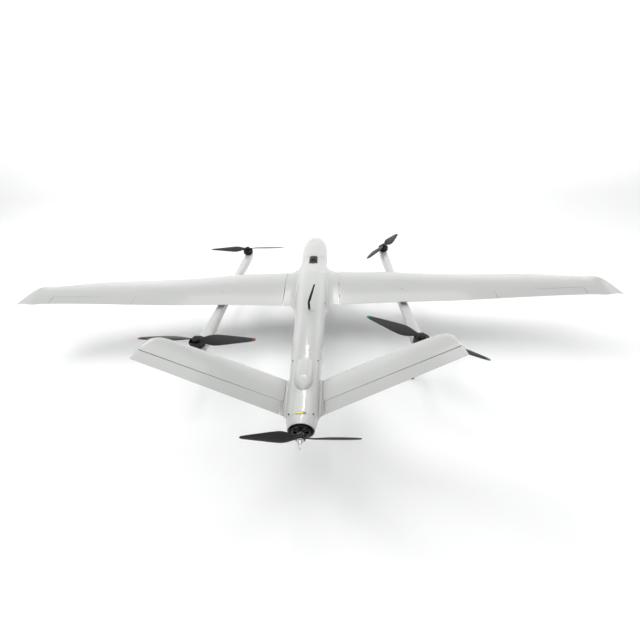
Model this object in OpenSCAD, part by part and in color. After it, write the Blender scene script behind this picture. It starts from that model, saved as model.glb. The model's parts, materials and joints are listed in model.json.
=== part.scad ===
// Fixed wing drone with four lift rotors under the wing and a pusher propeller at the tail.
// +X is the right wing, +Y the nose and +Z up. The origin is on the ground, halfway along the drone.
// Only the right-hand pieces are drawn: side(-1) mirrors them to the left.

/* [Overall] */
// Wing span, tip to tip
wing_span = 2500; // [2200:10:2800]
// Nose tip to the rim of the tail cowl
body_len = 1446; // [1250:2:1650]
// Pusher shaft end behind the rim of the tail cowl
shaft_reach = 50; // [46:1:70]
// Ground to the trailing edge of the wing root
wing_height = 205; // [195:1:260]

/* [Body] */
// Widest body width, at the nose
body_w = 154; // [140:1:190]
// Body height at the neck behind the nose
body_h = 141; // [130:1:180]
// Ground to the lowest line of the body
keel_height = 112; // [95:1:150]
// Skin thickness of the body, nose and cowl
skin = 2.5; // [2:0.1:4]
// Length of the nose cover
nose_len = 403; // [360:1:450]
// Length of the lip that the nose cover slides over
lip_len = 14; // [8:1:25]
// Length of the tail cowl
cowl_len = 27; // [22:1:40]
// Radius of the cowl rim
rim_r = 37; // [35.5:0.5:39]

/* [Wing] */
// Nose tip to the leading edge of the wing root
wing_from_nose = 541; // [500:1:580]
// Centre line to the joint of the outer wing panel
joint_x = 127; // [118:1:150]
// Chord at the joint
root_chord = 282; // [260:1:310]
// Wing thickness as a share of its chord
wing_thickness = 0.115; // [0.1:0.005:0.14]
// Rise of the wing in a run of one, its dihedral
wing_rise = 0.0455; // [0.02:0.0005:0.07]
// Main spar tube diameter
spar_d = 18; // [14:0.5:20]
// Length of one main spar tube
spar_len = 560; // [450:10:600]
// Spar axis behind the leading edge at the joint
spar_setback = 118; // [110:1:125]
// Rear locating pin diameter
pin_d = 8; // [6:0.5:10]
// Aileron start from the centre line
aileron_x = 791; // [740:1:830]
// Aileron length
aileron_len = 355; // [300:5:380]
// Hinge line in front of the wing's trailing edge
aileron_chord = 47; // [42:1:52]

/* [Tail] */
// Centre line to the root of a tail panel
tail_x = 60; // [58:0.5:66]
// Height of the tail root over the wing root's trailing edge
tail_lift = 5; // [0:1:10]
// Length of a tail panel, along its slope
tail_span = 404; // [360:2:450]
// Slope of the tail panels
tail_angle = 33.3; // [28:0.1:40]
// Chord of the tail root
tail_chord = 128; // [120:1:140]
// Nose tip to the leading edge of the tail root
tail_from_nose = 1265; // [1250:1:1280]
// Tail thickness as a share of its chord
tail_thickness = 0.105; // [0.1:0.005:0.13]
// Hinge line in front of the tail's trailing edge
ruddervator_chord = 40; // [36:1:46]
// Tail spar rod diameter
tail_spar_d = 6; // [4:0.5:7]

/* [Booms and lift rotors] */
// Centre line to a boom
boom_x = 410; // [380:1:440]
// Wing root leading edge to the front rotor axis
front_rotor_ahead = 319; // [300:1:350]
// Wing root leading edge to the rear rotor axis
rear_rotor_behind = 540; // [520:1:560]
// Boom width at the wing and at its ends
boom_w = 34; // [30:1:40]
boom_end_w = 46; // [42:1:52]
// Boom height
boom_h = 36; // [32:1:42]
// Lift propeller diameter
lift_prop_d = 445; // [400:5:460]
// Lift motor diameter and height
lift_motor_d = 56; // [50:1:60]
lift_motor_h = 27; // [24:1:34]
// Landing leg tube diameter
leg_d = 12; // [10:0.5:16]
// Landing foot diameter and height
foot_d = 26; // [20:1:32]
foot_h = 12; // [8:1:16]

/* [Pusher] */
// Pusher propeller diameter
pusher_prop_d = 318; // [280:2:360]
// Pusher motor diameter and length
pusher_motor_d = 54; // [48:1:60]
pusher_motor_len = 40; // [34:1:44]
// Motor shaft diameter
shaft_d = 6; // [5:0.5:8]

/* [Controls] */
// Radius of the servo arm and of the control horn
arm_r = 16; // [15:0.5:20]
// Hinge line to servo shaft
rod_len = 60; // [50:1:64]
// Hinge line to servo shaft on the tail
tail_rod_len = 46; // [44:1:50]
// Push rod wire diameter
wire_d = 2; // [1.5:0.1:2.4]

/* [Antenna] */
// Length of the antenna whip from its knuckle
whip_len = 82; // [60:1:160]
// Lean of the whip to the right
whip_lean = 18; // [0:1:60]

/* [Payload plate] */
// Hole spacing across and along the body
plate_hole_x = 50; // [40:1:60]
plate_hole_y = 70; // [60:1:90]
// Hole radius
plate_hole_r = 1.6; // [1.2:0.1:2.2]

/* [Hidden] */
$fn = 48;

white = "whitesmoke";
black = "#1c1c1c";
carbon = "#2b2b2b";

gap = 0.3;            // face gap between pieces that move past each other
run = 0.05;           // radial clearance of a turning fit
seat = 0.1;           // radial clearance of a tube in its seat
cut = 1;              // how far a cutter runs past a face
end_gap = 2;          // gap at the ends of a control surface

// Places along the body
overall_len = body_len + shaft_reach;
nose_y = overall_len / 2;
rim_y = nose_y - body_len;
seam_y = nose_y - nose_len;
cowl_y = rim_y + cowl_len;
wing_y = nose_y - wing_from_nose;
thrust_z = wing_height + 8;
crown_z = keel_height + body_h;

// ---- Shape functions ----
function power(v, p) = sign(v) * pow(abs(v), p);
function squircle(y, half, top, bottom, n, points = 40) =
    [for (i = [0:points - 1]) let (a = 360 * (i + 0.5) / points)
        [half * power(cos(a), 2 / n), y,
         (top + bottom) / 2 + (top - bottom) / 2 * power(sin(a), 2 / n)]];

function half_thickness(t) =
    5 * (0.2969 * sqrt(t) - 0.1260 * t - 0.3516 * pow(t, 2) + 0.2843 * pow(t, 3) - 0.1036 * pow(t, 4));
// One wing section at x: c runs from 0 at the leading edge to 1 at the trailing edge
function section(x, le, te, z_le, z_te, thickness, bow = 0.02, edge = 0.6, points = 28) =
    [for (i = [0:points - 1]) let (
            a = 360 * (i + 0.5) / points,
            c = (1 + cos(a)) / 2,
            chord = le - te,
            half = half_thickness(c) * thickness * chord + edge * c)
        [x, le - chord * c,
         z_le + (z_te - z_le) * c + 4 * bow * chord * c * (1 - c) + sign(sin(a)) * half]];

// A closed solid through rings of equal length, its faces turned outward
function turned(r, i = 1) = i > len(r) - 2 ? [0, 0, 0]
    : cross(r[i] - r[0], r[i + 1] - r[0]) + turned(r, i + 1);
module loft(rings) {
    n = len(rings[0]);
    m = len(rings);
    flip = turned(rings[1]) * (rings[m - 1][0] - rings[0][0]) > 0;
    sides = [for (j = [0:m - 2], i = [0:n - 1], upper = [true, false])
        let (k = (i + 1) % n, a = j * n + i, b = j * n + k, c = (j + 1) * n + k, d = (j + 1) * n + i)
            upper ? [a, b, c] : [a, c, d]];
    ends = [[for (i = [n - 1:-1:0]) i], [for (i = [0:n - 1]) (m - 1) * n + i]];
    faces = concat(sides, ends);
    polyhedron([for (r = rings, p = r) p],
        flip ? [for (f = faces) [for (i = [len(f) - 1:-1:0]) f[i]]] : faces, 10);
}

module side(s) {
    if (s < 0) mirror([1, 0, 0]) children();
    else children();
}

// ---- Body ----
// Share of body_len from the nose, half width, top and bottom as shares, squareness
nose_share = 0.163;
stations = [
    [0.163, 1.000, 1.000, 0.007, 2.6],
    [0.213, 0.990, 1.007, 0.000, 2.7],
    [0.279, 0.940, 1.000, 0.000, 2.8],
    [0.344, 0.895, 1.005, 0.000, 2.8],
    [0.379, 0.900, 1.030, 0.000, 2.8],
    [0.414, 0.935, 1.060, 0.000, 2.8],
    [0.483, 0.960, 1.075, 0.007, 2.8],
    [0.559, 0.935, 1.060, 0.035, 2.8],
    [0.607, 0.870, 1.035, 0.070, 2.8],
    [0.644, 0.815, 1.015, 0.106, 2.8],
    [0.734, 0.753, 1.000, 0.199, 2.9],
    [0.803, 0.695, 0.993, 0.270, 3.0],
    [0.869, 0.636, 0.986, 0.340, 3.0],
    [0.932, 0.590, 0.980, 0.404, 2.9],
    [1.000, 0.540, 0.974, 0.480, 2.8]];
nose_mid = 0.47;      // height of the nose tip as a share of body_h
body_points = 36;     // points round a body ring
function share_at(y) = (nose_y - y) / body_len;
function station(share, k) = lookup(share, [for (s = stations) [s[0], s[k]]]);
function body_top(y) = keel_height + body_h * station(share_at(y), 2);
// Height of the body's upper skin at x, y
function skin_z(x, y) = let (
        s = share_at(y),
        n = station(s, 4),
        top = station(s, 2),
        bottom = station(s, 3),
        rise = pow(1 - pow(abs(x) / (station(s, 1) * body_w / 2), n), 1 / n))
    keel_height + body_h * ((top + bottom) / 2 + (top - bottom) / 2 * rise);

function body_ring(share, half, top, bottom, n, inset, at) =
    squircle(at, half * body_w / 2 - inset, keel_height + top * body_h - inset,
        keel_height + bottom * body_h + inset, n, body_points);
function ring_at(y, inset) = let (s = share_at(y))
    body_ring(s, station(s, 1), station(s, 2), station(s, 3), station(s, 4), inset, y);
// Rings of the straight part of the body from y0 back to y1
function rings_between(y0, y1, inset) = concat([ring_at(y0, inset)],
    [for (s = stations) let (y = nose_y - s[0] * body_len) if (y < y0 - 1 && y > y1 + 1) ring_at(y, inset)],
    [ring_at(y1, inset)]);
function nose_ring(u, inset) = let (
        e = pow(1 - pow(u, 2.1), 1 / 2.1),
        f = max(pow(1 - pow(u, 2.4), 1 / 2.4), 0.04),
        s = stations[0],
        share = nose_share * (1 - u))
    body_ring(share, max(e * s[1], 0.04), nose_mid + (s[2] - nose_mid) * f,
        nose_mid - (nose_mid - s[3]) * f, 2 + 0.6 * (1 - u), inset, nose_y - share * body_len);
function rim_ring(y, r) = squircle(y, r, thrust_z + r, thrust_z - r, 2, body_points);
function moved(ring, dy) = [for (p = ring) p + [0, dy, 0]];

nose_steps = [0.998, 0.985, 0.955, 0.9, 0.82, 0.72, 0.58, 0.4, 0.2];
nose_end = nose_y - nose_share * body_len;

// ---- Wing ----
half_span = wing_span / 2;
tip_len = 45;         // length of the rounded tip
// Distance outboard of the joint, then leading and trailing edge behind the root leading edge
panel_len = half_span - joint_x;
wing_table = [
    [0.000, 0, 282], [0.198, 29, 285], [0.448, 83, 299], [0.760, 124, 302], [0.915, 162, 308],
    [0.960, 173, 316]];
tip_table = [[0.00, 173, 316], [0.45, 177, 318], [0.78, 187, 322], [0.95, 205, 331], [1.00, 232, 343]];
incidence = 0.05;     // nose-up slope of the root chord
function lead(u) = lookup(u, [for (w = wing_table) [w[0], w[1]]]);
function trail(u) = lookup(u, [for (w = wing_table) [w[0], w[2] - 282 + root_chord]]);
function wing_z(x) = wing_height + wing_rise * (x - joint_x);
function wing_ring(x, le, te, lift, thickness) = let (c = te - le)
    section(x, wing_y - le, wing_y - te, wing_z(x) + lift + incidence * c, wing_z(x) + lift,
        thickness);
function station_x(u) = joint_x + u * panel_len;
tip_x = half_span - tip_len;
module wing_solid() {
    shares = [0, 0.1, 0.198, 0.3, 0.448, 0.6, 0.76, 0.84, 0.915];
    loft(concat(
        [for (u = shares) wing_ring(station_x(u), lead(u), trail(u), 0, wing_thickness)],
        [for (t = tip_table) wing_ring(tip_x + tip_len * t[0], t[1], t[2] - 282 + root_chord,
            12 * pow(t[0], 2), wing_thickness - 0.02 * t[0])]));
}
// The wing centre, whose edges sweep out ahead and behind in elliptic curves to meet the body
fair_ahead = [62, 113];   // width and length of the sweep at the leading edge
fair_behind = [38, 77];   // and at the trailing edge
fair_start = 24;          // where the rear sweep starts, inboard of the joint
function sweep(run, size) = size[1] * (1 - sqrt(1 - pow(max(0, min(run / size[0], 0.995)), 2)));
function ahead(x) = sweep(joint_x - x, fair_ahead);
function behind(x) = sweep(joint_x - fair_start - x, fair_behind);
module saddle() {
    xs = [joint_x, joint_x - 14, joint_x - 26, joint_x - 38, joint_x - 48, joint_x - 56, joint_x - 61];
    rows = [for (x = xs) wing_ring(x, -ahead(x), root_chord + behind(x), 0,
        wing_thickness * root_chord / (root_chord + ahead(x) + behind(x)))];
    m = len(rows) - 1;
    loft(concat([for (r = rows) [for (p = r) [-p[0], p[1], p[2]]]],
        [for (j = [m:-1:0]) rows[j]]));
}
// Places things along the spar, which follows the rise of the wing
module on_spar() {
    translate([0, wing_y - spar_setback, wing_z(0) + incidence * (root_chord - spar_setback) + 3])
        rotate([0, -atan(wing_rise), 0]) rotate([0, 90, 0]) children();
}
pin_setback = 215;    // rear pin behind the leading edge at the joint
pin_len = 70;
module on_pin() {
    translate([joint_x - pin_len / 2, wing_y - pin_setback, wing_z(joint_x - pin_len / 2)
        + incidence * (root_chord - pin_setback) + 1])
        rotate([0, -atan(wing_rise), 0]) rotate([0, 90, 0]) children();
}

// ---- Hinge lines and control linkages ----
function hinge_x(e) = aileron_x + aileron_len * e;
function hinge_u(e) = (hinge_x(e) - joint_x) / panel_len;
camber = 0.02;
aileron_taper = 6;    // how much narrower the aileron is at its outer end
function wing_camber(chord, back) = 4 * camber * back * (1 - back / chord);
function aileron_hinge(e) = let (c = aileron_chord - aileron_taper * e)
    [hinge_x(e), wing_y - trail(hinge_u(e)) + c,
     wing_z(hinge_x(e)) + incidence * c + wing_camber(trail(hinge_u(e)) - lead(hinge_u(e)), c)];
tail_y = nose_y - tail_from_nose;
tail_te = tail_y - tail_chord;
function tail_hinge(e) = [tail_span * e, tail_te + ruddervator_chord - 12 * e, 0];

// Puts a child whose X axis is a hinge line on the line from p to q
module along(p, q) {
    d = q - p;
    translate(p) rotate([0, -atan2(d[2], norm([d[0], d[1]])), atan2(d[1], d[0])]) children();
}
module on_tail() {
    translate([tail_x, 0, wing_height + tail_lift]) rotate([0, -tail_angle, 0]) children();
}
nose_r = 4.9;         // nose radius of an aileron
cove_r = 7;           // radius of the hollow that it turns in
tail_nose_r = 3.3;    // nose radius of a ruddervator
tail_cove_r = 5.2;
horn_x = 150;         // horn from the inner end of the hinge line
tail_horn_x = 165;
tail_inset = 6;       // ruddervator start from the tail root
plate_t = 2;          // thickness of arms and horns
rod_x = 3.6;          // wire beside the arm
servo = [22, 24, 8];  // servo case
servo_back = 6;       // case behind the shaft axis

// The hollow and the space behind it, in hinge coordinates
module surface_zone(length, r) {
    translate([-end_gap, 0, 0]) rotate([0, 90, 0]) cylinder(r = r, h = length + 2 * end_gap);
    translate([-end_gap, -200, -60]) cube([length + 2 * end_gap, 200, 120]);
}
module surface_nose(length, r) {
    rotate([0, 90, 0]) cylinder(r = r, h = length);
}
module aileron_frame() { along(aileron_hinge(0), aileron_hinge(1)) children(); }
module tail_frame() { on_tail() along(tail_hinge(0), tail_hinge(1)) children(); }

// Linkage pieces, about the hinge line at x = 0
module servo_case() {
    color(black) {
        translate([plate_t / 2 + 1, -servo_back, -servo[2] / 2]) cube(servo);
        rotate([0, 90, 0]) translate([0, 0, -plate_t / 2]) cylinder(d = 5, h = plate_t + 1.2);
    }
}
module servo_pocket() {
    translate([plate_t / 2 + 1 - seat, -servo_back - seat, -30]) cube([servo[0] + 2 * seat,
        servo[1] + 2 * seat, 30 + servo[2] / 2 + seat]);
    translate([-plate_t / 2 - 1, -13, -30]) cube([plate_t + 2 + seat, 26, 30 + 4.5]);
}
module servo_arm() {
    color("dimgray") difference() {
        rotate([0, 90, 0]) translate([0, 0, -plate_t / 2]) linear_extrude(plate_t) hull() {
            circle(r = 4.2);
            translate([arm_r, 0]) circle(r = 2.8);
        }
        rotate([0, 90, 0]) translate([0, 0, -cut - plate_t]) cylinder(r = 2.5 + run, h = 3 * plate_t);
        translate([0, 0, -arm_r]) rotate([0, 90, 0]) translate([0, 0, -cut - plate_t])
            cylinder(r = wire_d / 2 + run, h = 3 * plate_t);
    }
}
module horn_outline() {
    translate([0, -arm_r]) circle(r = 3.2);
    polygon([[3.1, -arm_r + 0.6], [-0.5, -8.5], [-0.5, 0], [-13, 0], [-13, -3], [-2.6, -arm_r - 1.6]]);
}
module control_horn() {
    color("dimgray") difference() {
        rotate([90, 0, 90]) translate([0, 0, -plate_t / 2]) linear_extrude(plate_t)
            horn_outline();
        translate([0, 0, -arm_r]) rotate([0, 90, 0]) translate([0, 0, -2 * plate_t])
            cylinder(r = wire_d / 2 + 0.25, h = 4 * plate_t);
    }
}
module push_rod(length) {
    color("silver") union() {
        translate([rod_x, 0, -arm_r]) rotate([-90, 0, 0]) translate([0, 0, -wire_d / 2])
            cylinder(d = wire_d, h = length + wire_d);
        for (y = [0, length]) translate([-plate_t / 2 - 1, y, -arm_r]) rotate([0, 90, 0])
            cylinder(d = wire_d, h = plate_t / 2 + 1 + rod_x);
    }
}

// ---- Body pieces ----
module tail_stub() {
    on_tail() loft([
        section(-34, tail_y + 14, tail_te - 12, 0, 0, 0.16, 0, 1),
        section(-12, tail_y + 8, tail_te - 6, 0, 0, 0.13, 0),
        section(0, tail_y, tail_te, 0, 0, tail_thickness, 0)]);
}
module fuselage_shell() {
    color(white) difference() {
        union() {
            difference() {
                union() {
                    loft(rings_between(seam_y, cowl_y, 0));
                    saddle();
                    for (s = [-1, 1]) side(s) tail_stub();
                }
                loft(concat([moved(ring_at(seam_y, skin), cut)], rings_between(seam_y, cowl_y, skin),
                    [moved(ring_at(cowl_y, skin), -cut)]));
            }
            nose_lip();
        }
        for (s = [-1, 1]) side(s) {
            on_spar() cylinder(d = spar_d + 2 * seat, h = spar_len);
            on_pin() translate([0, 0, -cut]) cylinder(d = pin_d + 2 * seat, h = pin_len);
            on_tail() tail_spar_axis() cylinder(d = tail_spar_d + 2 * seat, h = 60);
            for (t = [-1, 1]) translate([plate_hole_x / 2, plate_y + t * plate_hole_y / 2, keel_height - skin])
                cylinder(r = plate_hole_r, h = 4 * skin);
            at_joint_screw() screw_hole(8, joint_screw_r);
        }
        at_body_screws() screw_hole();
        translate([0, antenna_y, body_top(antenna_y) - 3 * skin]) cylinder(r = antenna_stud_r + seat, h = 5 * skin);
    }
}
// Lip inside the seam: the nose cover slides over its front half
module nose_lip() {
    inner = moved(ring_at(seam_y, 2 * skin + gap), 0);
    difference() {
        union() {
            loft([moved(ring_at(seam_y, skin + gap), -lip_len), moved(ring_at(seam_y, skin + gap), 0),
                moved(ring_at(seam_y, skin + 2 * gap), lip_len)]);
            loft([moved(ring_at(seam_y, skin - 0.2), -lip_len), moved(ring_at(seam_y, skin - 0.2), -cut)]);
        }
        loft([moved(inner, -lip_len - cut), moved(inner, lip_len + cut)]);
    }
}
module nose_cover() {
    rear = seam_y + gap;
    color(white) difference() {
        loft(concat([for (u = nose_steps) nose_ring(u, 0)], rings_between(nose_end, rear, 0)));
        loft(concat([for (u = nose_steps) if (u < 0.99) nose_ring(u * 0.985, skin)],
            rings_between(nose_end, rear, skin), [moved(ring_at(rear, skin), -cut)]));
    }
}
module tail_cowl() {
    color(white) difference() {
        loft([moved(ring_at(cowl_y, 0), 0), rim_ring(rim_y, rim_r)]);
        loft([moved(ring_at(cowl_y, skin), cut), rim_ring(rim_y - cut, rim_r - skin)]);
        at_body_screws() screw_hole();
    }
}

// ---- Latch ----
latch_w = 42;
latch_len = 90;
latch_rise = 3.5;
latch_tab = [5, 9];     // lifting tab at its rear
latch_y = seam_y - 4 - latch_len;   // rear edge
latch_z = body_top(seam_y - 60) - 1.2;
module latch_outline(w, l, r) {
    hull() {
        translate([-w / 2, 0]) square([w, 1]);
        for (x = [-1, 1]) translate([x * (w / 2 - r), l - r]) circle(r = r);
    }
}
module nose_latch_plate() {
    color(black) difference() {
        translate([0, latch_y, latch_z]) linear_extrude(latch_rise) {
            latch_outline(latch_w, latch_len, 19);
            translate([-latch_tab[0] / 2, -latch_tab[1]]) square([latch_tab[0], latch_tab[1] + 1]);
        }
        translate([-13, latch_y + 14, latch_z + 1.5]) cube([26, 40, latch_rise]);
        loft(rings_between(latch_y + latch_len + cut, latch_y - latch_tab[1] - cut, -seat));
    }
}
module nose_latch_slider() {
    color(carbon) translate([0, latch_y + 23.4, latch_z + 1.5 + gap]) {
        translate([-12.5, 0, 0]) cube([25, 30, 3]);
        for (y = [4:5:24]) translate([-10, y, 3]) cube([20, 2, 1.4]);
    }
}

// ---- Rear blister ----
blister_len = 127;
blister_w = 54;
blister_y = nose_y - 1211;           // front edge
module rear_blister() {
    rows = [[0, 0.55, 0.6], [0.06, 0.82, 2.5], [0.18, 0.93, 6], [0.45, 1, 11], [0.68, 1, 14], [0.82, 0.92, 12.5],
        [0.93, 0.66, 7], [1, 0.3, 1.2]];
    color(white) difference() {
        loft([for (r = rows) let (y = blister_y - r[0] * blister_len, top = body_top(y))
            squircle(y, r[1] * blister_w / 2, top + r[2], top - 12, 3, 28)]);
        loft(rings_between(blister_y + cut, blister_y - blister_len - cut, -seat));
    }
}

// ---- Tail sticker ----
sticker = [27, 6, 0.4];
module tail_sticker() {
    y = cowl_y + 1.5;
    color("gold") intersection() {
        translate([-sticker[0] / 2, y, crown_z - 20]) cube([sticker[0], sticker[1], 40]);
        difference() {
            loft(rings_between(y + 2 * sticker[1], y - cut, -sticker[2]));
            loft(rings_between(y + 2 * sticker[1] + cut, y - 2 * cut, -seat / 2));
        }
    }
}

// ---- Payload plate ----
plate_y = wing_y - 60;
plate_t2 = 3;         // plate thickness under the keel
belly_pad = 7;        // how far its edges rise to meet the belly
// A block with round upright edges
module rounded_block(w, l, h, r) {
    translate([-w / 2 + r, -l / 2, 0]) cube([w - 2 * r, l, h]);
    translate([-w / 2, -l / 2 + r, 0]) cube([w, l - 2 * r, h]);
    for (x = [-1, 1], y = [-1, 1]) translate([x * (w / 2 - r), y * (l / 2 - r), 0]) cylinder(r = r, h = h);
}
module payload_plate() {
    color(carbon) translate([0, plate_y, keel_height - plate_t2]) difference() {
        rounded_block(plate_hole_x + 16, plate_hole_y + 16, plate_t2 + belly_pad, 6);
        for (x = [-1, 1], y = [-1, 1]) translate([x * plate_hole_x / 2, y * plate_hole_y / 2, -cut])
            cylinder(r = plate_hole_r, h = plate_t2 + belly_pad + 2 * cut);
        translate([0, -plate_y, plate_t2 - keel_height])
            loft(rings_between(plate_y + plate_hole_y, plate_y - plate_hole_y, -seat));
    }
}

// ---- Equipment ----
tray_z = keel_height + 36;
tray_t = 2;
tray_front = seam_y + 250;
tray_back = wing_y - 190;
module equipment_tray() {
    color(carbon) translate([0, 0, tray_z]) linear_extrude(tray_t)
        polygon([[-55, tray_back], [55, tray_back], [55, seam_y], [38, tray_front], [-38, tray_front], [-55, seam_y]]);
}
module battery_pack() {
    color("#27415e") translate([-38, seam_y + 45, tray_z + tray_t]) cube([76, 190, 60]);
}
module autopilot() {
    color(black) translate([-28, wing_y - 40, tray_z + tray_t]) {
        cube([56, 88, 20]);
        translate([8, 10, 20]) cube([40, 60, 5]);
    }
}
module satnav_puck() {
    color("gainsboro") translate([0, wing_y - 110, tray_z + tray_t]) cylinder(r = 26, h = 14);
}
module speed_controllers() {
    color("#303030") {
        for (s = [-1, 1]) side(s) for (y = [front_y - 130, rear_y + 70])
            translate([boom_x - 11, y, boom_top - boom_h + 4]) cube([22, 60, 12]);
        translate([-16, cowl_y + 95, thrust_z - 14]) cube([32, 70, 16]);
    }
}
module wing_spars() {
    color(carbon) for (s = [-1, 1]) side(s) on_spar() difference() {
        translate([0, 0, 3]) cylinder(d = spar_d, h = spar_len - 3);
        translate([0, 0, 2]) cylinder(d = spar_d - 3, h = spar_len + cut);
    }
}
module wing_pins() {
    color("silver") for (s = [-1, 1]) side(s) on_pin() cylinder(d = pin_d, h = pin_len);
}
module tail_spar_axis() {
    translate([-14, tail_y - 40, 0]) rotate([0, 90, 0]) children();
}
tail_spar_len = 165;
module tail_spars() {
    color(carbon) for (s = [-1, 1]) side(s) on_tail() tail_spar_axis()
        cylinder(d = tail_spar_d, h = tail_spar_len);
}

// ---- Screws ----
module screw(l = 6, r = 3) {
    cylinder(r = r, h = 1.2);
    translate([0, 0, -l]) cylinder(r = r / 2, h = l);
}
// The hole that a screw sits in
module screw_hole(l = 6, r = 3) {
    cylinder(r = r + seat, h = 12);
    translate([0, 0, -l - seat]) cylinder(r = r / 2 + seat, h = l + cut);
}
// Two by the blister, two on the cowl seam and three along the wing saddle
body_screw_places = [[-40, blister_y + 1], [40, blister_y + 1], [-32, cowl_y + 5], [32, cowl_y + 5],
    [-60, wing_y - 185], [60, wing_y - 65], [60, wing_y - 315]];
module at_body_screws() {
    for (p = body_screw_places) translate([p[0], p[1], skin_z(p[0], p[1]) - 0.4]) children();
}
module body_screws() {
    color("dimgray") {
        at_body_screws() screw();
    }
}
// Height of the wing's upper skin at x, a distance back from the root leading edge
function wing_top(x, back) = let (
        u = (x - joint_x) / panel_len,
        chord = trail(u) - lead(u),
        from_lead = back - lead(u))
    wing_z(x) + incidence * (chord - from_lead) + 4 * camber * from_lead * (1 - from_lead / chord)
        + half_thickness(from_lead / chord) * wing_thickness * chord;
boom_screw_r = 2.5;
boom_screw_len = 34;
boom_screws = [65, 205];  // behind the root leading edge
joint_screw_r = 2.5;
module at_boom_screws() {
    for (b = boom_screws) translate([boom_x, wing_y - b, wing_top(boom_x, b) - 0.8]) children();
}
module at_joint_screw() {
    translate([joint_x - 8, wing_y - 46, wing_top(joint_x, 46) - 0.8]) children();
}
module wing_screws() {
    color("dimgray") for (s = [-1, 1]) side(s) {
        at_joint_screw() screw(8, joint_screw_r);
        at_boom_screws() screw(boom_screw_len, boom_screw_r);
    }
}

// ---- Antenna ----
antenna_y = wing_y - 393;
antenna_stud_r = 3.2;
knuckle_h = 36;       // tilt axis over the skin
knuckle_r = 5;
hex_h = 5;            // hexagon on the skin, with the turning spigot over it
spigot_r = 3;
spigot_h = 5;
tilt_pin_r = 1.2;
fork_gap = 4.8;       // between the two ears of the knuckle
fork_t = 2.6;
ear_r = 4;
whip_r = 3.2;         // at its end
module antenna_socket() {
    color("silver") translate([0, antenna_y, body_top(antenna_y)]) {
        cylinder(r = knuckle_r - 0.4, h = hex_h, $fn = 6);
        translate([0, 0, hex_h]) cylinder(r = spigot_r, h = spigot_h);
        translate([0, 0, -3 * skin]) cylinder(r = antenna_stud_r, h = 3 * skin);
    }
}
module antenna_knuckle() {
    color(black) translate([0, antenna_y, body_top(antenna_y)]) difference() {
        union() {
            translate([0, 0, hex_h + gap]) cylinder(r = knuckle_r, h = knuckle_h - hex_h - 6);
            for (y = [-1, 1]) translate([0, y * (fork_gap + fork_t) / 2, knuckle_h]) {
                translate([-ear_r, -fork_t / 2, -6]) cube([2 * ear_r, fork_t, 6]);
                rotate([90, 0, 0]) cylinder(r = ear_r, h = fork_t, center = true);
            }
            translate([0, 0, knuckle_h]) rotate([90, 0, 0])
                cylinder(r = tilt_pin_r, h = 2 * fork_gap, center = true);
        }
        translate([0, 0, hex_h - cut]) cylinder(r = spigot_r + run, h = spigot_h + 2.2 * cut);
    }
}
module antenna_whip() {
    color(black) translate([0, antenna_y, body_top(antenna_y) + knuckle_h]) rotate([0, whip_lean, 0]) difference() {
        union() {
            rotate([90, 0, 0]) cylinder(r = ear_r - 0.4, h = fork_gap - 2 * gap, center = true);
            translate([-whip_r, gap - fork_gap / 2, 0]) cube([2 * whip_r, fork_gap - 2 * gap, 8]);
            translate([0, 0, 5.5]) cylinder(r1 = whip_r + 2, r2 = whip_r, h = whip_len - 8);
            translate([0, 0, whip_len - 2.5]) sphere(r = whip_r);
        }
        rotate([90, 0, 0]) cylinder(r = tilt_pin_r + run, h = 2 * fork_gap, center = true);
    }
}

// ---- Wing pieces ----
module wing() {
    color(white) difference() {
        wing_solid();
        on_spar() cylinder(d = spar_d + 2 * seat, h = spar_len + 1);
        on_pin() translate([0, 0, -cut]) cylinder(d = pin_d + 2 * seat, h = pin_len + 2 * cut);
        aileron_frame() {
            surface_zone(aileron_len, cove_r);
            translate([horn_x, rod_len, 0]) servo_pocket();
        }
        at_boom_screws() screw_hole(boom_screw_len, boom_screw_r);
    }
}
module aileron() {
    color(white) difference() {
        union() {
            intersection() {
                wing_solid();
                aileron_frame() translate([0, -200, -60]) cube([aileron_len, 200, 120]);
            }
            aileron_frame() surface_nose(aileron_len, nose_r);
        }
        aileron_frame() translate([horn_x, 0, 0]) horn_slot();
    }
}
// Slot that the horn is glued into
module horn_slot() {
    rotate([90, 0, 90]) translate([0, 0, -plate_t / 2]) linear_extrude(plate_t) horn_outline();
}
module tail_solid() {
    rows = [[0, 0], [0.3, 6], [0.6, 14], [0.84, 24], [0.92, 30]];
    tip = [[0.00, 30], [0.40, 38], [0.75, 52], [0.95, 74], [1.0, 95]];
    loft(concat(
        [for (r = rows) section(r[0] * tail_span, tail_y - r[1], tail_te, 0, 0, tail_thickness, 0)],
        [for (t = tip) if (t[0] > 0) section((0.92 + 0.08 * t[0]) * tail_span, tail_y - t[1], tail_te, 0, 0,
            tail_thickness, 0)]));
}
module tail_panel() {
    color(white) difference() {
        on_tail() tail_solid();
        on_tail() tail_spar_axis() translate([0, 0, -cut])
            cylinder(d = tail_spar_d + 2 * seat, h = tail_spar_len + 2 * cut);
        loft(rings_between(tail_y + 30, max(tail_te - 20, cowl_y), -seat));
        tail_frame() {
            translate([tail_inset, 0, 0]) surface_zone(tail_span, tail_cove_r);
            translate([tail_horn_x, tail_rod_len, 0]) servo_pocket();
        }
    }
}
module ruddervator() {
    color(white) difference() {
        union() {
            intersection() {
                on_tail() tail_solid();
                tail_frame() translate([tail_inset, -200, -60]) cube([tail_span, 200, 120]);
            }
            tail_frame() translate([tail_inset, 0, 0]) surface_nose(tail_span - 2 * tail_inset, tail_nose_r);
        }
        tail_frame() translate([tail_horn_x, 0, 0]) horn_slot();
    }
}
module aileron_link() { aileron_frame() translate([horn_x, 0, 0]) children(); }
module tail_link() { tail_frame() translate([tail_horn_x, 0, 0]) children(); }
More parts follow.
